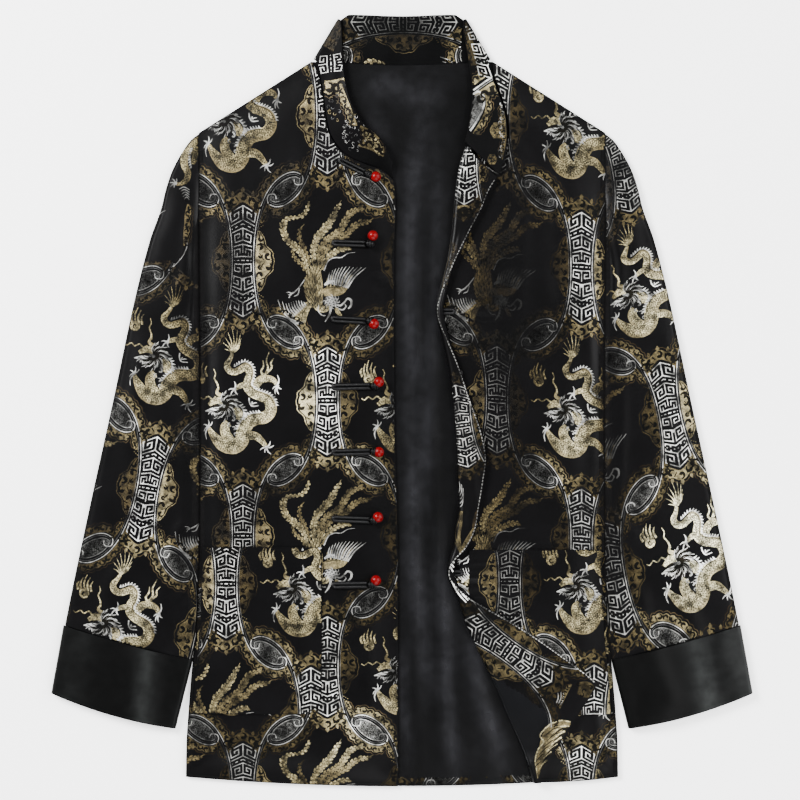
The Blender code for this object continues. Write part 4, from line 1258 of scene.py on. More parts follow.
# A phoenix's tail: each feather's thread, its gain of painted light and shade, its widths and its
# middle line
TAIL = (
    ("cream", 1.25, (3.5, 4.6, 5.6, 7.4, 6.6, 6.2, 7.6, 6.4, 3.6, 3.2, 4.6, 3.8, 0.8),
     ((-18.5, 10.5), (-24, -4.5), (-31, -13), (-38, -18), (-42.4, -24), (-44.2, -31), (-43.6, -37),
      (-39.6, -40.6), (-34, -41.6), (-27, -42.4), (-22, -46.4), (-19.8, -51.4), (-18.6, -57))),
    ("gold", 0.8, (3.4, 4.8, 5, 4.2, 3, 0.8),
     ((-17.5, 3), (-22.6, -10.5), (-26.6, -18), (-28.4, -25), (-27.4, -30.5), (-23, -35.4))),
    ("gold", 0.9, (3.4, 4, 4, 3.6, 3, 1),
     ((-20, 12), (-25.6, 2.6), (-31, -1.4), (-34.4, -6.4), (-33.4, -11.6), (-29.6, -13))),
    ("cream", 1.15, (4.4, 5.6, 6.8, 7.8, 8.2, 7.4, 6, 4, 0.8),
     ((-14, 5), (-14.4, -6.5), (-13, -15.5), (-8.6, -24.5), (-2, -31.6), (4, -39.4), (8, -47.4),
      (11, -52.6), (13.8, -58))),
    ("gold", 0.95, (4.4, 5.2, 5.8, 6.2, 6.8, 7.2, 6.6, 5, 0.8),
     ((-10.5, 5), (-9.4, -7), (-4, -17), (3.4, -23.4), (12, -28.6), (17, -36.6), (21.4, -44.4),
      (27.6, -48.4), (36.6, -50))),
    ("gold", 0.85, (4.4, 5, 5.4, 5.8, 6.2, 6.2, 6, 4.4, 0.8),
     ((-7.5, 6), (-5, -5), (1.4, -14), (10.4, -20.4), (20, -26.4), (25.4, -32.4), (32, -36.6),
      (39.6, -37.6), (46, -41))),
    ("cream", 1.1, (4.2, 5, 5.8, 6, 5, 2),
     ((-5, 8), (-1.8, -1), (4.6, -7.4), (12.4, -11.4), (20, -13.4), (23.6, -11))),
)


def plume(draft, thread, points, widths, pitch=4.3):
    """A tail feather: a band with puffs along both sides and dark notches by its quill."""
    edge = Edge(points, 1)
    widths = np.interp(edge.run / edge.length, np.linspace(0, 1, len(widths)), widths)
    draft.ribbon("gold", edge.line, 0.5 * widths[:: max(1, len(widths) // 8)], curved=False)
    for k in range(1, int(edge.length / pitch)):
        at, reach = k * pitch, 0.22 * np.interp(k * pitch, edge.run, widths)
        draft.ribbon("dark", (edge.place(at - 1, -reach), edge.place(at + 0.6, -0.2 * reach),
                              edge.place(at + 1.6, -reach)), 0.6, cell=2.4, curved=False)
    for k in range(1, int(edge.length / pitch)):
        at = k * pitch
        half = 0.5 * np.interp(at, edge.run, widths) * (0.95 + 0.15 * math.sin(2.3 * k))
        for side in (-1, 1):
            run = at + 0.5 * pitch * (side > 0)
            draft.ribbon(thread, (edge.place(run, 0.5 * side),
                                  edge.place(run + 0.30 * half, 0.55 * half * side),
                                  edge.place(run + 1.05 * half, half * side)),
                         (1.3, 2.7, 1.1), cell=2)


def barbs(draft, centre, normal, width):
    """Short feathers that lie along a body, pale ones and the dark between them."""
    last = len(centre) - 1
    for k in range(60):
        at = (k * 0.7549) % 1
        side = (k * 0.5698) % 1 - 0.5
        index = at * last
        x, y, nx, ny, wide = (np.interp(index, np.arange(last + 1), column) for column in
                              (*centre.T, *normal.T, width))
        across = np.array((nx, ny))
        root = np.array((x, y)) + across * side * wide * 0.86
        ahead = np.array((-ny, nx)) + across * side * 0.9
        for thread, shift, widths in (("cream", 0, (0.6, 1.2, 0.4)),
                                      ("dark", 0.9, (0.5, 0.8, 0.3))):
            foot = root + across * shift
            draft.ribbon(thread, (foot, foot + ahead * 2.2, foot + ahead * 4.4), widths,
                         cell=2.4, curved=False)


def draft_phoenix(coarse):
    """A phoenix flying down, with a long tail over its back."""
    made = Draft(coarse)
    for thread, shade, widths, points in TAIL:
        made.shade = shade
        plume(made, thread, points, widths)
    made.shade = 1
    made.ribbon("silver", ((-3.5, 9), (1, -0.5), (7, -3.6), (14, -3.8), (20, -7.4), (27.5, -8.6)),
        (1, 1, 0.9, 0.8, 0.6, 0.3))
    body = made.ribbon("gold", ((-12.4, 1), (-12.8, 9), (-13.8, 18), (-14, 26), (-12.6, 34),
        (-10.6, 41), (-9, 46)), (4, 12, 17.5, 19, 17, 12, 6))
    barbs(made, *body)
    made.ribbon("cream", ((-14, 40), (-8, 44.6), (-2, 45.6), (2, 42)), (7, 7, 6, 5))
    # the head: a woolly crest, a ringed eye, a hooked beak and wattles
    made.shade = 0.7
    made.ribbon("speckle", ((-2, 37), (4, 38), (10, 40)), (8, 10, 6))
    for k, x, y in sunflower(20, start=0.4):
        swirl(made, 4.2 + 7.4 * x, 39 + 5.92 * y, 2.2, 2.4 * k, thread="silver", width=1)
    made.draw(
        ("silver", ((-8.6, 42), (-9.4, 47), (-5.6, 51.6), (-1.6, 52)), (0.8, 1, 1, 0.7)),
        ("dark", ((-6.8, 43.6), (-4, 41.6), (-1.8, 43.8), (-3, 46.6), (-6, 46.8), (-6.8, 43.6)),
            0.8),
        ("silver", ((3.4, 43), (3, 47.6), (1, 53), (-2.4, 58)), (2, 2.2, 1.8, 0.8)),
        ("cream", ((8.4, 44), (10, 48), (14, 52.6)), (2.4, 4.2, 2)),
        ("silver", ((9, 41.6), (13, 42.4), (17, 39), (20, 35.6), (23.8, 37.6), (23.4, 42.6),
            (20.6, 45.4)), (1.2, 1.8, 1.5, 1.8, 2.2, 2, 1.2)),
        ("silver", ((11, 45.4), (15.6, 46.4), (18.6, 43), (17, 40.6)), (1, 1.3, 1.2, 0.6)))
    # wings
    made.shade = 1
    made.draw(
        ("gold", ((-4, 30), (3, 28.6), (10, 28.4), (16, 26), (20, 20.6)), (7, 9.4, 9, 7, 3)),
        ("silver", ((-3, 22.6), (1.6, 19.6), (7, 18.6)), (1.6, 3.4, 1)))
    roots = ((1, 21), (20, 25.6))
    made.shade = 0.8
    fan(made, "silver", roots, ((2.4, 10.4), (5.4, 8.4), (8.4, 6.8), (11.6, 6), (15, 5.2),
        (18.6, 4.8), (22.4, 5), (26.2, 5.4), (30.2, 5.4), (34.2, 5.6), (38.4, 6)),
        widths=(1.5, 1.2, 0.35), bend=-0.07)
    made.shade = 1
    fan(made, "cream", ((0, 24), (17, 27)), ((0, 16), (4.6, 13), (9.2, 12.4), (14, 12),
        (19.4, 11.6), (25, 12.4)), widths=(1.3, 1.1, 0.35), bend=-0.07)
    made.draw(
        ("dark", ((-2, 26), (5, 24.6), (13, 24.2), (18, 20.4)), 0.6),
        ("cream", ((-17, 40), (-22, 45), (-26, 50.6), (-28.6, 56.6)), (6, 9, 12.4, 14)),
        ("dark", ((-20.6, 44), (-24.6, 49.6), (-25.6, 56)), 0.6))
    fan(made, "silver", ((-37, 56), (-21.4, 42.6)), ((-49.6, 36.4), (-45.2, 38.4), (-41.6, 40.4),
        (-39, 40), (-36.4, 39.2), (-34, 38.4), (-31.4, 37.6), (-28.8, 37.4), (-26.2, 37.6),
        (-23.6, 38.6)), widths=(1.7, 1.2, 0.35), bend=-0.10)
    made.draw(
        ("silver", ((-24, 59), (-31, 58.6), (-37.6, 55.6)), (2, 3.6, 2.8)),
        ("silver", ((-22.6, 17), (-28, 24.4), (-33, 29.4), (-39.2, 32.2)), (0.9, 1, 1.3, 0.5)),
        ("silver", ((-28, 25.6), (-29.6, 31.6), (-33.6, 33.6)), (0.8, 1.2, 0.5)))
    fan(made, "silver", (-35.4, 30.8), ((-41, 29.6), (-38.4, 35)), widths=(1.1, 1, 0.4))
    return made


def draft_flap():
    """What shows on the turned-back facing between its meander panels."""
    made = Draft()
    free = plan_steps(FLAP_ROWS[CORNER_LOW:CORNER_TOP + 1, 3:5])
    selvage = Edge(free, -1, cell=1.2)
    for k in range(int(selvage.length / 3.4)):
        at = 3.4 * k
        made.quads("silver", [[selvage.place(at, 0.5), selvage.place(at + 2.2, 0.5),
            selvage.place(at + 2.2, 1.5), selvage.place(at, 1.5)]])
    made.shade = 0.3
    knuckles(made, ((449.5, 242), (448.5, 255), (445, 270), (441, 288)), 7, side=-1)
    made.shade = 0.8
    knuckles(made, ((457, 206), (466, 205), (475, 210)), 15)
    knuckles(made, ((470, 150), (476, 160), (479, 172), (478, 184)), 9, side=-1)
    made.shade = 1.2
    # hairs, a forked cloud and two fans of feathers by the middle of the fold
    fan(made, "silver", ((457, 496), (459, 508)), ((459, 481), (461.4, 484), (463, 488),
        (463.6, 493), (463, 499)), widths=(0.9, 0.8, 0.3), bend=0.12)
    made.shade = 1
    made.draw(
        ("gold", ((461.5, 511), (459, 522), (456.4, 536), (461, 552)), (2.5, 6.5, 7.5, 3)),
        ("gold", ((475.5, 529), (470, 537), (465, 545), (461, 552)), (6.5, 6, 5.5, 3)),
        ("ochre", ((479, 508), (475, 517), (473, 527)), (2, 3.6, 2)))
    for x, y, turn in ((460, 520, 0.4), (457, 531, 2), (459, 543, 4),
                       (470, 535, 1), (465, 543, 3)):
        swirl(made, x, y, 1.7, turn)
    made.shade = 1.7
    fan(made, "silver", ((450, 566), (456, 556)), ((464, 586), (467, 583), (469, 579), (470, 574),
        (470, 569)), widths=(1.2, 1.6, 1.2), bend=0.05)
    fan(made, "silver", ((452, 582), (462, 580)), ((466, 602), (468, 600), (469, 597), (470, 593)),
        widths=(1.2, 1.5, 1), bend=0.05)
    swirl(made, 464, 557, 3.6, 3, thread="silver", width=0.9)
    made.shade = 0.9
    fan(made, "silver", ((556, 702), (560, 704)), ((557.5, 692), (560.5, 691), (563, 692)),
        widths=(1.1, 1, 0.3))
    # the hem band: gold by its corner, and a pale cloud that narrows to the hem
    made.shade = 0.24
    made.ribbon("gold", ((578, 687), (586, 689), (596, 694)), (12, 16, 8))
    for x, y, turn in ((578, 683, 0.4), (584, 690, 2.2), (590, 687, 4),
                       (581, 694, 5.2), (593, 694, 1.2)):
        swirl(made, x, y, 2.6, turn, width=1.3)
    made.shade = 0.75
    knuckles(made, ((572, 684), (566, 696), (560, 708)), 6, pitch=6)
    made.shade = 0.50
    made.ribbon("gold", ((570, 722.5), (562, 724), (554, 729), (548.5, 737), (545, 745), (541, 755),
        (538.6, 765), (537.4, 776)), (3, 8, 13, 14.5, 12, 8.5, 6, 2))
    made.shade = 1.2
    made.ribbon("cream", ((570, 721), (561, 719.5), (551, 722.5), (543, 729.5), (539.5, 735),
        (543.5, 741), (538, 748), (535, 758), (536, 768), (537.4, 777.5)),
        (1.2, 1.3, 1.4, 1.4, 1.2, 1.3, 1.1, 0.8))
    made.shade = 0.8
    strokes = (((569, 725), (560, 726), (551, 733)), ((568, 729.5), (560, 732), (552, 739)),
        ((564, 735), (557, 738.5), (548, 746)), ((557, 742.5), (551, 746), (544, 753)),
        ((551, 750.5), (547, 753), (541, 760)), ((547, 759), (543, 762), (539, 768)))
    for stroke in strokes:
        made.ribbon("cream", stroke, (1.6, 1.8, 0.5))
    for stroke in strokes:
        made.draw(
            ("dark", [(x + 0.6, y + 2.2) for x, y in stroke], (1.4, 1.7, 0.6)),
            ("dark", [(x - 6, y + 1.4) for x, y in stroke], (0.3, 1, 0.5)))
    return made


def draft_sleeve_top():
    """The part of a dragon that shows on the top of the right sleeve, over a cloud's edge."""
    made = Draft()
    made.shade = 1.3
    limb(made, ((206, 134.6), (200, 137), (195, 142), (191.5, 149)), (4, 6, 10, 12))
    limb(made, ((197.5, 147), (196, 156), (192.5, 164)), (6, 7, 4))
    limb(made, ((190, 149), (185, 157), (184.6, 165.5), (188, 173), (186.6, 180), (181.6, 183.6),
        (176.4, 184.4)), (10, 8, 7, 6.4, 5.8, 4, 3))
    spines(made, "silver", ((193, 147.5), (190.4, 154), (190.4, 162), (192, 170)), 1)
    claw(made, "silver", (175.6, 183.8), ((170.6, 187.4), (169.8, 183.2), (172.6, 179),
        (176.8, 178.6), (174.4, 188.2)))
    made.shade = 0.9
    for row in range(5):
        made.ribbon("silver", ((179.4 + 1.3 * row, 189.4 + 2.5 * row), (184 + 0.7 * row,
            187.2 + 2.5 * row), (189.6, 190 + 2.5 * row)), (0.5, 1, 0.6))
        swirl(made, 181 + 1.4 * row, 190.6 + 2.5 * row, 1.5, 1.7 * row, width=0.7)
    made.shade = 1.6
    knuckles(made, ((187, 204), (184.6, 214), (184, 225), (183, 236), (183.4, 246)), 8, side=-1)
    made.draw(
        ("silver", ((187.4, 238), (187.2, 247), (182.6, 257), (176, 264.6), (169, 270.6)), 0.9),
        ("silver", ((157, 219), (160.4, 213.6), (166, 210.6)), 0.6))
    return made


def draft_collar_right():
    """What shows on the right end of the collar, about its meander."""
    made = Draft()
    made.shade = 0.12
    made.ribbon("gold", ((341, 22), (334, 36), (327, 48)), (7, 12, 15))
    for k in range(18):
        swirl(made, 339.5 - 1.35 * (k // 2) + 5 * (k % 2), 26 + 2.7 * (k // 2), 2.1, 2.1 * k,
            width=1.3)
    made.shade = 0.9
    knuckles(made, ((313, 79), (328, 80.5), (344, 78)), 17)
    knuckles(made, ((342, 84), (347, 97), (353, 112), (358, 126)), 9)
    made.shade = 0.7
    knuckles(made, ((361, 126), (371, 131), (380, 139)), 9)
    knuckles(made, ((358, 147), (370, 151), (383, 158)), 12, side=-1)
    made.shade = 0.5
    for k, x, y in sunflower(14):
        swirl(made, 331 + 7 * x + 0.4 * k, 108 + 15 * y, 2, 2.1 * k,
              thread="gold" if k % 2 else "steel", width=0.7)
    made.shade = 0.85
    for k, x, y in sunflower(34):
        swirl(made, 349 + 12.5 * x + 0.2 * k, 133 + 19 * y, 1.7 + 0.5 * math.sin(1.7 * k),
              1.9 * k, thread="silver" if k % 3 else "steel", width=0.7)
    made.shade = 1.1
    made.draw(
        ("cream", ((352, 118), (357, 113), (355, 107), (360, 103)), (1.2, 1.2, 1, 0.4)),
        ("cream", ((363, 134), (370, 139), (376, 146), (381, 155)), (4, 8, 9, 5)))
    for k in range(5):
        swirl(made, 366 + 3.4 * k, 136 + 4.4 * k, 2.2, 2 * k, width=1.2)
    return made


def draft_collar_left():
    """What shows on the left end of the collar, about its meander."""
    made = Draft()
    made.shade = 0.14
    made.ribbon("gold", ((463, 24), (468, 38), (471, 52), (473, 66)), (7, 8, 7, 8))
    for k in range(14):
        swirl(made, 463.5 + 0.6 * k, 25 + 3 * k, 2, 2.1 * k, width=1.3)
    # a ball of cloud, and the edge of a panel, on the end that is turned over
    made.shade = 0.55
    for x, y, size in ((505, 91, 6), (497.5, 131, 8), (492, 160, 5)):
        made.ribbon("cream", ((x, y - size), (x, y), (x, y + size)), np.array((1, 2, 1)) * size)
        for k in range(5):
            swirl(made, x + 0.5 * size * math.cos(1.3 * k), y + 0.6 * size * math.sin(1.3 * k), 2.2,
                1.9 * k, width=1.1)
    made.shade = 1
    knuckles(made, ((503, 104), (505.5, 118), (506.5, 140), (503, 160)), 6)
    for k in range(12):
        swirl(made, 501 + 1.2 * math.sin(k), 104 + 4.8 * k, 2.2, 2.2 * k, thread="silver",
            width=0.9)
    made.quads("silver", [[(466, 31), (474, 29.6), (474.6, 32.6), (466.6, 34.2)]])
    outline(made, Edge(((499, 73), (486, 81.5), (472, 92)), 1), -2.4, 1.5, 0.9)
    knuckles(made, ((471, 89), (480, 82), (486, 77.5)), 10, side=-1, pitch=5.6)
    knuckles(made, ((474, 95), (486, 86), (498, 78.5)), 15)
    made.ribbon("speckle", ((478, 96), (477.5, 104), (474.5, 114), (469, 126)), (4, 10.5, 11.5, 5))
    for k in range(8):
        swirl(made, 478 - 0.9 * k, 98 + 3.4 * k, 1.9, 1.9 * k, thread="steel" if k % 2 else "dark",
            width=0.8)
    rim = Edge(((473, 95), (478.5, 92.4), (483.6, 97), (483.4, 107), (479, 118), (470, 132)), 1)
    outline(made, rim, 2.6, 1.9, 1)
    knuckles(made, ((485.4, 100), (484.8, 109), (480.4, 120), (472, 134)), 8, side=-1, pitch=5)
    return made


COLUMN, REPEAT = 84.5, 136


def repeat_unit(coarse=1):
    """One repeat of the weave, about a meander panel that has dragons over and under it."""
    unit = Draft(coarse)
    unit.add(draft_frame(coarse, False))
    unit.add(draft_frame(coarse, True).moved(COLUMN, REPEAT))
    unit.add(draft_dragon(coarse).moved(0, REPEAT))
    unit.add(draft_phoenix(coarse).moved(COLUMN, 0))
    ovals = {True: draft_oval(coarse, True), False: draft_oval(coarse, False)}
    for column in (-1, 1):
        for row in (-1, 1):
            oval = ovals[column * row > 0].moved(column * OVAL_X, row * OVAL_Y)
            # Ovals that lean the other way are painted darker: painted shade
            shade = 1 if column * row > 0 else 0.7
            unit.add(oval, shade).add(oval.moved(COLUMN, REPEAT), shade)
    return unit


def gather(draft):
    """A draft's shapes in one set of arrays: points, their shades, faces and their threads."""
    points, shades, faces, threads, start = [], [], [], [], 0
    for thread, pts, fcs, shade in draft.parts:
        points.append(pts)
        shades.append(np.full(len(pts), shade))
        faces.append(fcs + start)
        threads.append(np.full(len(fcs), THREAD_NAMES.index(thread)))
        start += len(pts)
    return np.vstack(points), np.concatenate(shades), np.vstack(faces), np.concatenate(threads)


FINE_UNIT, COARSE_UNIT = gather(repeat_unit()), gather(repeat_unit(2.2))

# Painted light and shade on the threads: spots painted brighter than most, as painted sheen, and
# spots painted darker, as painted shade in the valleys beside the sleeves and in folds: (x, y,
# radius_x, radius_y, gain)
COMMON_TONE = 0.20
PAINTED_LIGHT_SPOTS = (
    (328, 400, 42, 72, 4.7), (243, 400, 46, 70, 3.6), (320, 690, 60, 60, 3),
    (225, 600, 30, 60, 2.6), (370, 740, 40, 40, 3.2), (150, 490, 36, 80, 2.8),
    (130, 600, 40, 50, 2.8), (165, 380, 34, 60, 1.8), (215, 150, 60, 40, 1.3),
    (258, 260, 12, 34, 2.8), (325, 245, 26, 60, 1.6), (320, 570, 40, 50, 2),
    (690, 440, 50, 110, 3.7), (690, 570, 60, 70, 4.2), (645, 290, 40, 60, 3.1),
    (575, 130, 44, 46, 1.9), (585, 270, 20, 80, 3), (570, 440, 32, 70, 3.2),
    (585, 600, 30, 50, 2.5), (590, 750, 40, 30, 3.2), (345, 90, 40, 40, 2.2),
    (490, 50, 40, 60, 3.4), (466, 170, 18, 40, 3), (462, 430, 20, 50, 2.6), (508, 650, 50, 40, 2.3),
    (460, 580, 14, 26, 3), (555, 745, 26, 34, 2.2), (596, 692, 20, 32, 3.2),
    (508, 300, 52, 156, 0.035), (498, 232, 34, 56, 0.6), (238, 262, 14, 64, 0.4),
    (612, 560, 16, 46, 0.4), (616, 455, 14, 50, 0.45), (194, 268, 7, 14, 0.2),
    (622, 168, 14, 9, 0.2), (610, 200, 6, 40, 0.4), (510, 500, 36, 90, 0.30),
    (500, 620, 26, 30, 0.6), (200, 360, 9, 240, 0.16), (607, 380, 10, 250, 0.14),
    (184, 480, 13, 200, 0.25), (222, 250, 16, 60, 0.8), (402, 30, 58, 30, 0.10),
    (178, 230, 20, 70, 0.30), (618, 470, 8, 180, 0.6), (465, 786, 80, 6, 0.4),
)


def painted_light_at(x, y):
    """The painted light and shade on the threads at places in millimetres: a gain on their colour.
    """
    right, down = plan_steps(np.stack([x, y], -1)).T
    painted_light = np.full(x.shape, COMMON_TONE)
    for cx, cy, rx, ry, gain in PAINTED_LIGHT_SPOTS:
        reach = ((right - cx) / rx) ** 2 + ((down - cy) / ry) ** 2
        painted_light *= 1 - (1 - gain) * np.exp(-reach ** 1.5)
    return painted_light


class Lay:
    """How the weave lies on a piece: a panel's middle, and the ways across and down it."""

    def __init__(self, origin, across=(1, 0), down=(0, 1), scale=1, bend=0):
        self.origin = np.array(origin, float)
        self.across = np.array(across, float)
        self.down = np.array(down, float)
        self.scale, self.bend = scale, bend

    def __call__(self, points):
        """Where points of a motif fall, in draft steps."""
        run = points[:, 1]
        run = run * self.scale + self.bend * run * run
        return self.origin + points[:, :1] * self.across + run[:, None] * self.down

    def units(self, box):
        """Shifts of the repeat that can reach a box in draft steps."""
        x0, y0, x1, y1 = box
        for i in range(-6, 7):
            for j in range(-6, 7):
                shift = np.array((i * 2 * COLUMN, j * 2 * REPEAT))
                corners = np.array([(-70, -100), (150, -100), (-70, 240), (150, 240)]) + shift
                seen = self(corners.astype(float))
                low, high = seen.min(0), seen.max(0)
                if low[0] < x1 and high[0] > x0 and low[1] < y1 and high[1] > y0:
                    yield shift


def surface_of(obj):
    """An object's surface, to cast rays at."""
    depsgraph = bpy.context.evaluated_depsgraph_get()
    mesh = obj.evaluated_get(depsgraph).to_mesh()
    points = [v.co.copy() for v in mesh.vertices]
    faces = [tuple(p.vertices) for p in mesh.polygons]
    return BVHTree.FromPolygons(points, faces)


# Where the points that a motif doesn't keep are put; the steepest normal that a thread's height is
# measured along; how far threads stand off the underside; and the largest step in a whole quad (m)
FAR_OFF, STEEPEST, SUNK_BELOW, LARGEST_STEP = -1000, 0.45, 0.6, 0.004
# Gold threads are painted browner where painted shade darkens them
WARMTH = np.array((0, 0.06, 0.19))


def join_laid(laid):
    """Motifs in their places as one set of arrays: (x, y) in mm, shades, faces and threads."""
    all_points, all_shades, all_faces, all_threads, start = [], [], [], [], 0
    for (points, shades, faces, threads), places, span in laid:
        if span is not None:
            within = (places[:, 1] > span[0]) & (places[:, 1] < span[1])
            places = np.where(within[:, None], places, FAR_OFF)
        all_points.append(plan(places))
        all_shades.append(shades)
        all_faces.append(faces + start)
        all_threads.append(threads)
        start += len(points)
    return (np.vstack(all_points), np.concatenate(all_shades), np.vstack(all_faces),
            np.concatenate(all_threads))


def land(cloth, xy, chosen, offsets, below):
    """Heights in metres of the chosen points, dropped on the cloth or raised to its underside."""
    tree = surface_of(cloth)
    z = np.full(len(xy), np.nan)
    from_z = -1 if below else 1
    for index in np.nonzero(chosen)[0]:
        start = Vector((xy[index, 0] * MM, xy[index, 1] * MM, from_z))
        hit, normal, _, _ = tree.ray_cast(start, Vector((0, 0, -from_z)))
        if hit is None:
            continue
        lift = offsets[index] / max(STEEPEST, abs(normal.z))
        z[index] = hit.z + (-SUNK_BELOW * lift if below else lift)
    return z


def weave(name, cloth, lay=None, keep=None, below=False, highest=None, motifs=()):
    """Lay the repeat, or single motifs, over a piece of cloth, and keep what falls on it.

    motifs holds gathered drafts, how each lies, and the span down the cloth that it keeps to."""
    unit = COARSE_UNIT if below else FINE_UNIT
    corners = np.array([tuple(c) for c in cloth.bound_box]) / MM
    low, high = corners.min(0), corners.max(0)
    (left, bottom), (right, top) = plan_steps(low), plan_steps(high)
    laid = [(motif, place(motif[0]), span) for motif, place, span in motifs]
    if lay is not None:
        laid += [(unit, lay(unit[0] + shift), None)
                 for shift in lay.units((left, top, right, bottom))]
    xy, shades, faces, threads = join_laid(laid)

    inside = ((xy > low[:2]) & (xy < high[:2])).all(1)
    if keep is not None:
        inside &= keep(*xy.T)
    offsets = np.zeros(len(xy))
    offsets[faces.ravel()] = np.repeat(THREAD_HEIGHTS[threads], 4) * MM
    z = land(cloth, xy, inside, offsets, below)
    if highest is not None:
        z[z > highest(*xy.T) * MM] = np.nan
    corner_z = z[faces]
    whole = ~np.isnan(corner_z).any(1)
    whole &= np.where(whole, corner_z.max(1) - corner_z.min(1), 1) < LARGEST_STEP
    faces, threads = faces[whole], threads[whole]
    warm = np.zeros(len(xy))
    warm[faces.ravel()] = np.repeat(WARM_THREADS[threads], 4)
    used, faces = np.unique(faces, return_inverse=True)
    points = np.column_stack([xy[used], z[used] / MM])
    made = add_mesh(name, points, faces.reshape(-1, 4), THREAD_FINISHES, threads)
    made.data.polygons.foreach_set("use_smooth", np.zeros(len(threads), bool))
    # Painted light and shade: each part's gain, and on the top side the painted light spots, scale
    # the threads' colour
    painted_light = shades[used]
    if not below:
        painted_light = painted_light * painted_light_at(*points[:, :2].T)
    add_painted_light(made, painted_light[:, None] ** (1 + warm[used][:, None] * WARMTH))
    return made


# ---------------------------------------------------------------- trim
def sweep(points, radius, sides=10):
    """A round cord through points in millimetres: vertices and faces."""
    points = np.asarray(points, float)
    ahead = np.gradient(points, axis=0)
    ahead /= np.linalg.norm(ahead, axis=1)[:, None]
    up = np.tile(np.array((0, 0, 1)), (len(points), 1))
    side = np.cross(up, ahead)
    side /= np.maximum(np.linalg.norm(side, axis=1)[:, None], 1e-9)
    lift = np.cross(ahead, side)
    radius = np.broadcast_to(radius, (len(points),))
    turn = np.linspace(0, 2 * math.pi, sides, endpoint=False)
    ring = (side[:, None] * np.cos(turn)[None, :, None]
            + lift[:, None] * np.sin(turn)[None, :, None])
    vertices = points[:, None] + ring * radius[:, None, None]
    faces = grid_faces(len(points), sides, closed=True).tolist()
    last = (len(points) - 1) * sides
    faces.append(list(range(sides))[::-1])
    faces.append([last + k for k in range(sides)])
    return vertices.reshape(-1, 3), faces


def join(name, shapes, materials):
    """Several shapes as one piece."""
    points, faces, start = [], [], 0
    for pts, fcs in shapes:
        points.append(pts)
        faces += [[i + start for i in f] for f in fcs]
        start += len(pts)
    return add_mesh(name, np.vstack(points), faces, materials)


def make_strap(name, start, end):
    """A cord doubled back on itself and sewn down."""
    start, end = np.array(start), np.array(end)
    along = (end - start) / np.hypot(*(end - start))
    across = np.array((-along[1], along[0]))
    half = CORD_RADIUS * 1.02
    length = np.hypot(*(end - start))
    count = max(4, int(length / 2))
    go = np.linspace(length, half, count)
    line = [(*(start + along * s + across * half), 0) for s in go]
    for turn in np.radians(np.linspace(105, 255, 7)):
        spot = start + along * (half + half * math.cos(turn)) + across * half * math.sin(turn)
        line.append((*spot, 0))
    line += [(*(start + along * s - across * half), 0) for s in go[::-1]]
    line = np.array(line)
    ground = front_shape(line[:, 0], line[:, 1]) + WALL / 2
    run = np.arange(len(line))
    line[:, 2] = ground + LAY * 0.6 + CORD_RADIUS * 0.86 + 0.10 * np.sin(run * 1.3)
    points, faces = sweep(line, CORD_RADIUS * (1 + 0.03 * np.sin(run * 2.1)))
    stitches = []
    for s in np.arange(2.5, length - 1, 3.2):
        spot = start + along * s
        z = front_shape(*spot) + WALL / 2 + LAY * 0.6 + CORD_RADIUS * 0.9
        ends = [(*(spot - across * 0.9), z), (*spot, z - 0.35), (*(spot + across * 0.9), z)]
        stitches.append(sweep(np.array(ends), 0.22, sides=5))
    return join(name, [(points, faces)] + stitches, [CORD_CLOTH])


def make_bead(name, x, y, toward):
    """A round bead on its knot, with the drilled end of its hole."""
    ground = float(front_shape(x, y)) + WALL / 2 + LAY
    rings, around = 16, 28
    polar = np.linspace(0, math.pi, rings + 1)
    turn = np.linspace(0, 2 * math.pi, around, endpoint=False)
    dent = (0.10 * np.exp(-(polar / HOLE_TURN) ** 2)
            + 0.06 * np.exp(-((math.pi - polar) / HOLE_TURN) ** 2))
    radius = BEAD_RADIUS * (1 - dent)
    shape = np.stack([
        (radius * np.sin(polar))[:, None] * np.cos(turn),
        (radius * np.sin(polar))[:, None] * np.sin(turn),
        (radius * np.cos(polar))[:, None] + 0 * turn], -1)
    third = np.array((*toward, 0.25))
    third /= np.linalg.norm(third)
    first = np.cross((0, 0, 1), third)
    first /= np.linalg.norm(first)
    second = np.cross(third, first)
    shape = shape[..., 0:1] * first + shape[..., 1:2] * second + shape[..., 2:3] * third
    shape = shape + (x, y, ground + BEAD_RADIUS)
    return add_mesh(name, shape.reshape(-1, 3), grid_faces(rings + 1, around, closed=True),
                    [BEAD_FINISH])


def make_knot(name, x, y, toward):
    """The ball of wound cord that carries a bead, between it and the strap's end."""
    across = np.array((-toward[1], toward[0]))
    ground = float(front_shape(x, y)) + WALL / 2
    polar = np.linspace(0.15, math.pi - 0.15, 90)
    turn = polar * KNOT_TURNS
    reach = KNOT_RADIUS * np.sin(polar)
    along = KNOT_RADIUS * np.cos(polar)
    line = np.column_stack([
        x + toward[0] * along + across[0] * reach * np.cos(turn),
        y + toward[1] * along + across[1] * reach * np.cos(turn),
        ground + 1.8 + KNOT_RADIUS + reach * np.sin(turn)])
    return join(name, [sweep(line, KNOT_CORD, sides=8)], [CORD_CLOTH])


# ---------------------------------------------------------------- build the pieces
back = make_back()
front_right = make_front_right()
front_left = make_front_left()
facing = make_facing()
sleeve_right, cuff_right = make_sleeve("right", -1)
sleeve_left, cuff_left = make_sleeve("left", 1)
collar = make_collar()
pocket_right = make_pocket("pocket_right_cloth", POCKET_RIGHT_ROWS)
pocket_left = make_pocket("pocket_left_cloth", POCKET_LEFT_ROWS)

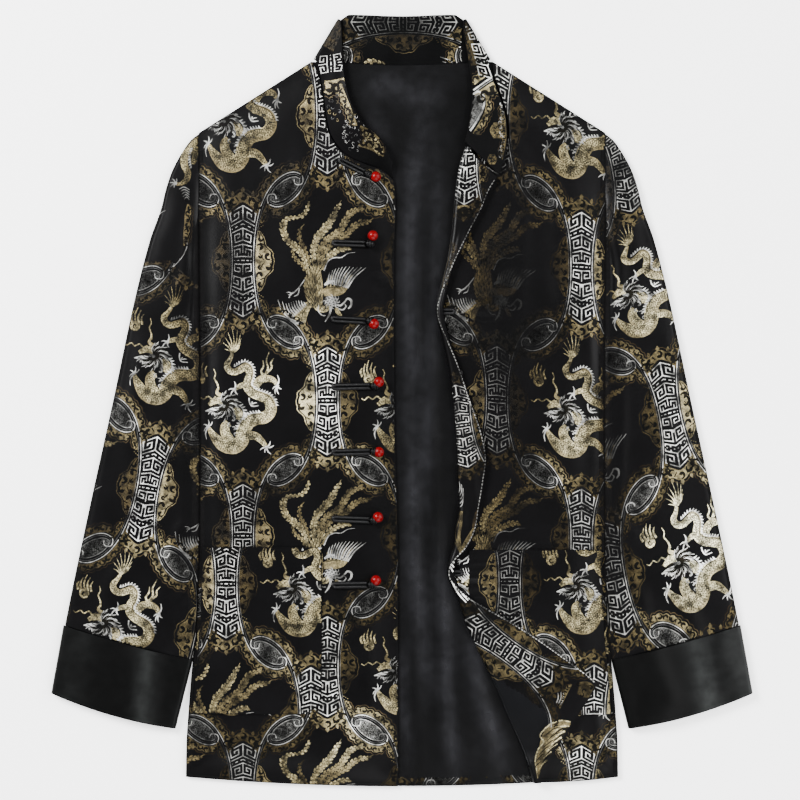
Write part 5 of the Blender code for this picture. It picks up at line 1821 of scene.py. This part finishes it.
for piece, node, slot_name in (
        (back, "back", "brocade"), (front_right, "front_right", "brocade"),
        (front_left, "front_left", "brocade"), (facing, "facing_left", "facing"),
        (sleeve_right, "sleeve_right", "brocade"), (sleeve_left, "sleeve_left", "brocade"),
        (cuff_right, "cuff_right", "satin"), (cuff_left, "cuff_left", "satin"),
        (collar, "collar", "brocade"), (pocket_right, "pocket_right", "brocade"),
        (pocket_left, "pocket_left", "brocade")):
    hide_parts(node)

for number, (x0, y0, x1, y1, bead_x, bead_y) in enumerate(STRAPS, start=1):
    strap = make_strap("strap_%d_cord" % number, (x0, y0), (x1, y1))
    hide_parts("strap_%d" % number)
    toward = np.array((x1 - bead_x, y1 - bead_y))
    toward /= np.hypot(*toward)
    bead = make_bead("bead_%d_glass" % number, bead_x, bead_y, toward)
    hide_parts("bead_%d" % number)
    ahead = np.array((x1 - x0, y1 - y0)) / math.hypot(x1 - x0, y1 - y0)
    knot_x, knot_y = np.array((x1, y1)) + ahead * KNOT_REACH
    knot = make_knot("knot_%d_cord" % number, knot_x, knot_y, ahead)
for number, (y, length) in enumerate(LOOPS, start=1):
    x = float(np.interp(y, FLAP_ROWS[:, 0], FLAP_ROWS[:, 1])) + FOLD_REACH + 1
    loop = make_strap("loop_%d_cord" % number, (x + length, y), (x, y))
    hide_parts("loop_%d" % number)

BODY_LAY = Lay((243, 261.5), scale=1.048, bend=-1.35e-4)
LEFT_LAY = Lay((581.5, 268), across=(1, 0.08), scale=1.040, bend=-1.35e-4)
POCKET_RIGHT_LAY = Lay((142, 448.5))
POCKET_LEFT_LAY = Lay((425, 446))
SLEEVE_RIGHT_LAY = Lay((148, 489), across=(0.982, 0.187), down=(-0.187, 0.982))
SLEEVE_LEFT_LAY = Lay((669.5, 414), across=(0.968, -0.30), down=(0.187, 0.982), bend=2.7e-4)
AS_DRAWN, WHOLE_SPAN = Lay((0, 0)), (0, 800)
LAPEL_LAY = Lay((466, 152), across=(1, 0.02), down=(-0.04, 1))
MIDDLE_LAY = Lay((461.5, 426), across=(0.95, -0.15), down=(0.15, 0.96), scale=0.80)
LOWER_LAY = Lay((508, 650), across=(0.58, -0.81), down=(0.81, 0.58))
COLLAR_RIGHT_LAY = Lay((330, 64), across=(0.06, 1), down=(-1, 0.12))
COLLAR_LEFT_LAY = Lay((473.5, 29), across=(0.80, -0.30), down=(0.35, 0.93))
COLLAR_BACK_LAY = Lay((404, 22), across=(0, 1), down=(1, 0))
BACK_LAY = Lay((402, 300))


BEHIND_NECK_X = 63
# How wide the turned-up strip of the hem is, and from where to where it shows
HEM_STRIP, STRIP_START, STRIP_END = 9.5, -6, 144


def behind_neck(x, y):
    """The part of the collar behind the neck."""
    return (abs(x) < BEHIND_NECK_X) & (y > BACK_SEAM_Y)


def turned_up(x, y):
    """The strip of the back's hem that shows between the fronts."""
    return (y < hem_y(x) + HEM_STRIP) & (x > STRIP_START) & (x < STRIP_END)


def under_flap(x, y):
    """The height of the gap that the turned-back flap leaves over a front."""
    return front_mid(x, y) + WALL / 2 + LEAST_FLAP


# The repeat starts under this line on the right sleeve: (x, y) in draft steps, and its fall
SLEEVE_TOP_ENDS = (172, 260, 0.95)


def below_sleeve_top(x, y):
    """The part of the right sleeve that carries the repeat."""
    from_x, from_y, fall = SLEEVE_TOP_ENDS
    line = from_y + fall * np.maximum(x / STEP + DRAFT_X - from_x, 0)
    return y < (DRAFT_Y - line) * STEP


def collar_right(x, y):
    """The collar's end at the wearer's right."""
    return (x < 0) & ~behind_neck(x, y)


def collar_left(x, y):
    """The collar's end at the wearer's left."""
    return (x > 0) & ~behind_neck(x, y)


def as_drawn(draft):
    """A draft that already lies in its place."""
    return gather(draft), AS_DRAWN, WHOLE_SPAN


meander_only = Draft()
draft_meander(meander_only)
meander_panel = gather(meander_only)
# The facing's panels, with painted shade on one lobe and on their gold threads
facing_panel = draft_frame(1, False, shaded_lobe=0.85)
facing_panel.dim(GOLDS, 0.36)
facing_panel = gather(facing_panel)

weaves = [
    weave("weave_front_right", front_right, BODY_LAY),
    weave("weave_front_left", front_left, LEFT_LAY, highest=under_flap),
    weave("weave_pocket_right", pocket_right, POCKET_RIGHT_LAY),
    weave("weave_pocket_left", pocket_left, POCKET_LEFT_LAY),
    weave("weave_sleeve_right", sleeve_right, SLEEVE_RIGHT_LAY, keep=below_sleeve_top),
    weave("weave_sleeve_right_top", sleeve_right, motifs=[as_drawn(draft_sleeve_top())]),
    weave("weave_sleeve_left", sleeve_left, SLEEVE_LEFT_LAY),
    weave("weave_facing", facing, motifs=[
        (facing_panel, LAPEL_LAY, (120, 231)), (facing_panel, MIDDLE_LAY, (352, 500)),
        (facing_panel, LOWER_LAY, (600, 727)), as_drawn(draft_flap())]),
    weave("weave_collar_back", collar, COLLAR_BACK_LAY, keep=behind_neck),
    weave("weave_collar_right", collar, keep=collar_right, motifs=[
        (meander_panel, COLLAR_RIGHT_LAY, (20, 79)), as_drawn(draft_collar_right())]),
    weave("weave_collar_left", collar, keep=collar_left, motifs=[
        (meander_panel, COLLAR_LEFT_LAY, (26, 84)), as_drawn(draft_collar_left())]),
    weave("weave_back_hem", back, BACK_LAY, keep=turned_up),
    weave("weave_back_under", back, BACK_LAY, below=True),
    weave("weave_sleeve_right_under", sleeve_right, SLEEVE_RIGHT_LAY, below=True),
    weave("weave_sleeve_left_under", sleeve_left, SLEEVE_LEFT_LAY, below=True),
]

# ---------------------------------------------------------------- stage, light and camera
bpy.ops.mesh.primitive_plane_add(size=6, location=(0, 0, -0.0004))
floor = bpy.context.object
floor.name = "floor"
paper = bpy.data.materials.new("floor_paper")
paper.use_nodes = True
matt = paper.node_tree.nodes["Principled BSDF"]
matt.inputs["Base Color"].default_value = (0.93, 0.93, 0.93, 1)
matt.inputs["Roughness"].default_value = 0.9
matt.inputs["Emission Color"].default_value = (1, 1, 1, 1)
matt.inputs["Emission Strength"].default_value = 1
floor.data.materials.append(paper)

world = bpy.data.worlds.new("studio")
world.use_nodes = True
sky = world.node_tree.nodes["Background"]
sky.inputs["Color"].default_value = (1, 1, 1, 1)
sky.inputs["Strength"].default_value = 0.12
bpy.context.scene.world = world


def area_light(name, place, size, power):
    """A square lamp that shines at the middle of the jacket."""
    lamp = bpy.data.lights.new(name, "AREA")
    lamp.shape = "SQUARE"
    lamp.size = size
    lamp.energy = power
    made = bpy.data.objects.new(name, lamp)
    made.location = place
    made.rotation_euler = (-Vector(place)).to_track_quat("-Z", "Y").to_euler()
    bpy.context.scene.collection.objects.link(made)


area_light("key", (-1.9, 1.3, 1.9), 1.3, 340)
area_light("fill", (2.2, 0.5, 1.7), 3, 220)
area_light("low", (0.4, -2.2, 1.5), 2.6, 130)

lens, sensor, width = 120, 36, 0.84
camera_data = bpy.data.cameras.new("camera")
camera_data.lens = lens
camera_data.sensor_width = sensor
camera = bpy.data.objects.new("camera", camera_data)
camera.location = (-0.0021, 0.0005, width * lens / sensor + 0.005)
bpy.context.scene.collection.objects.link(camera)
bpy.context.scene.camera = camera
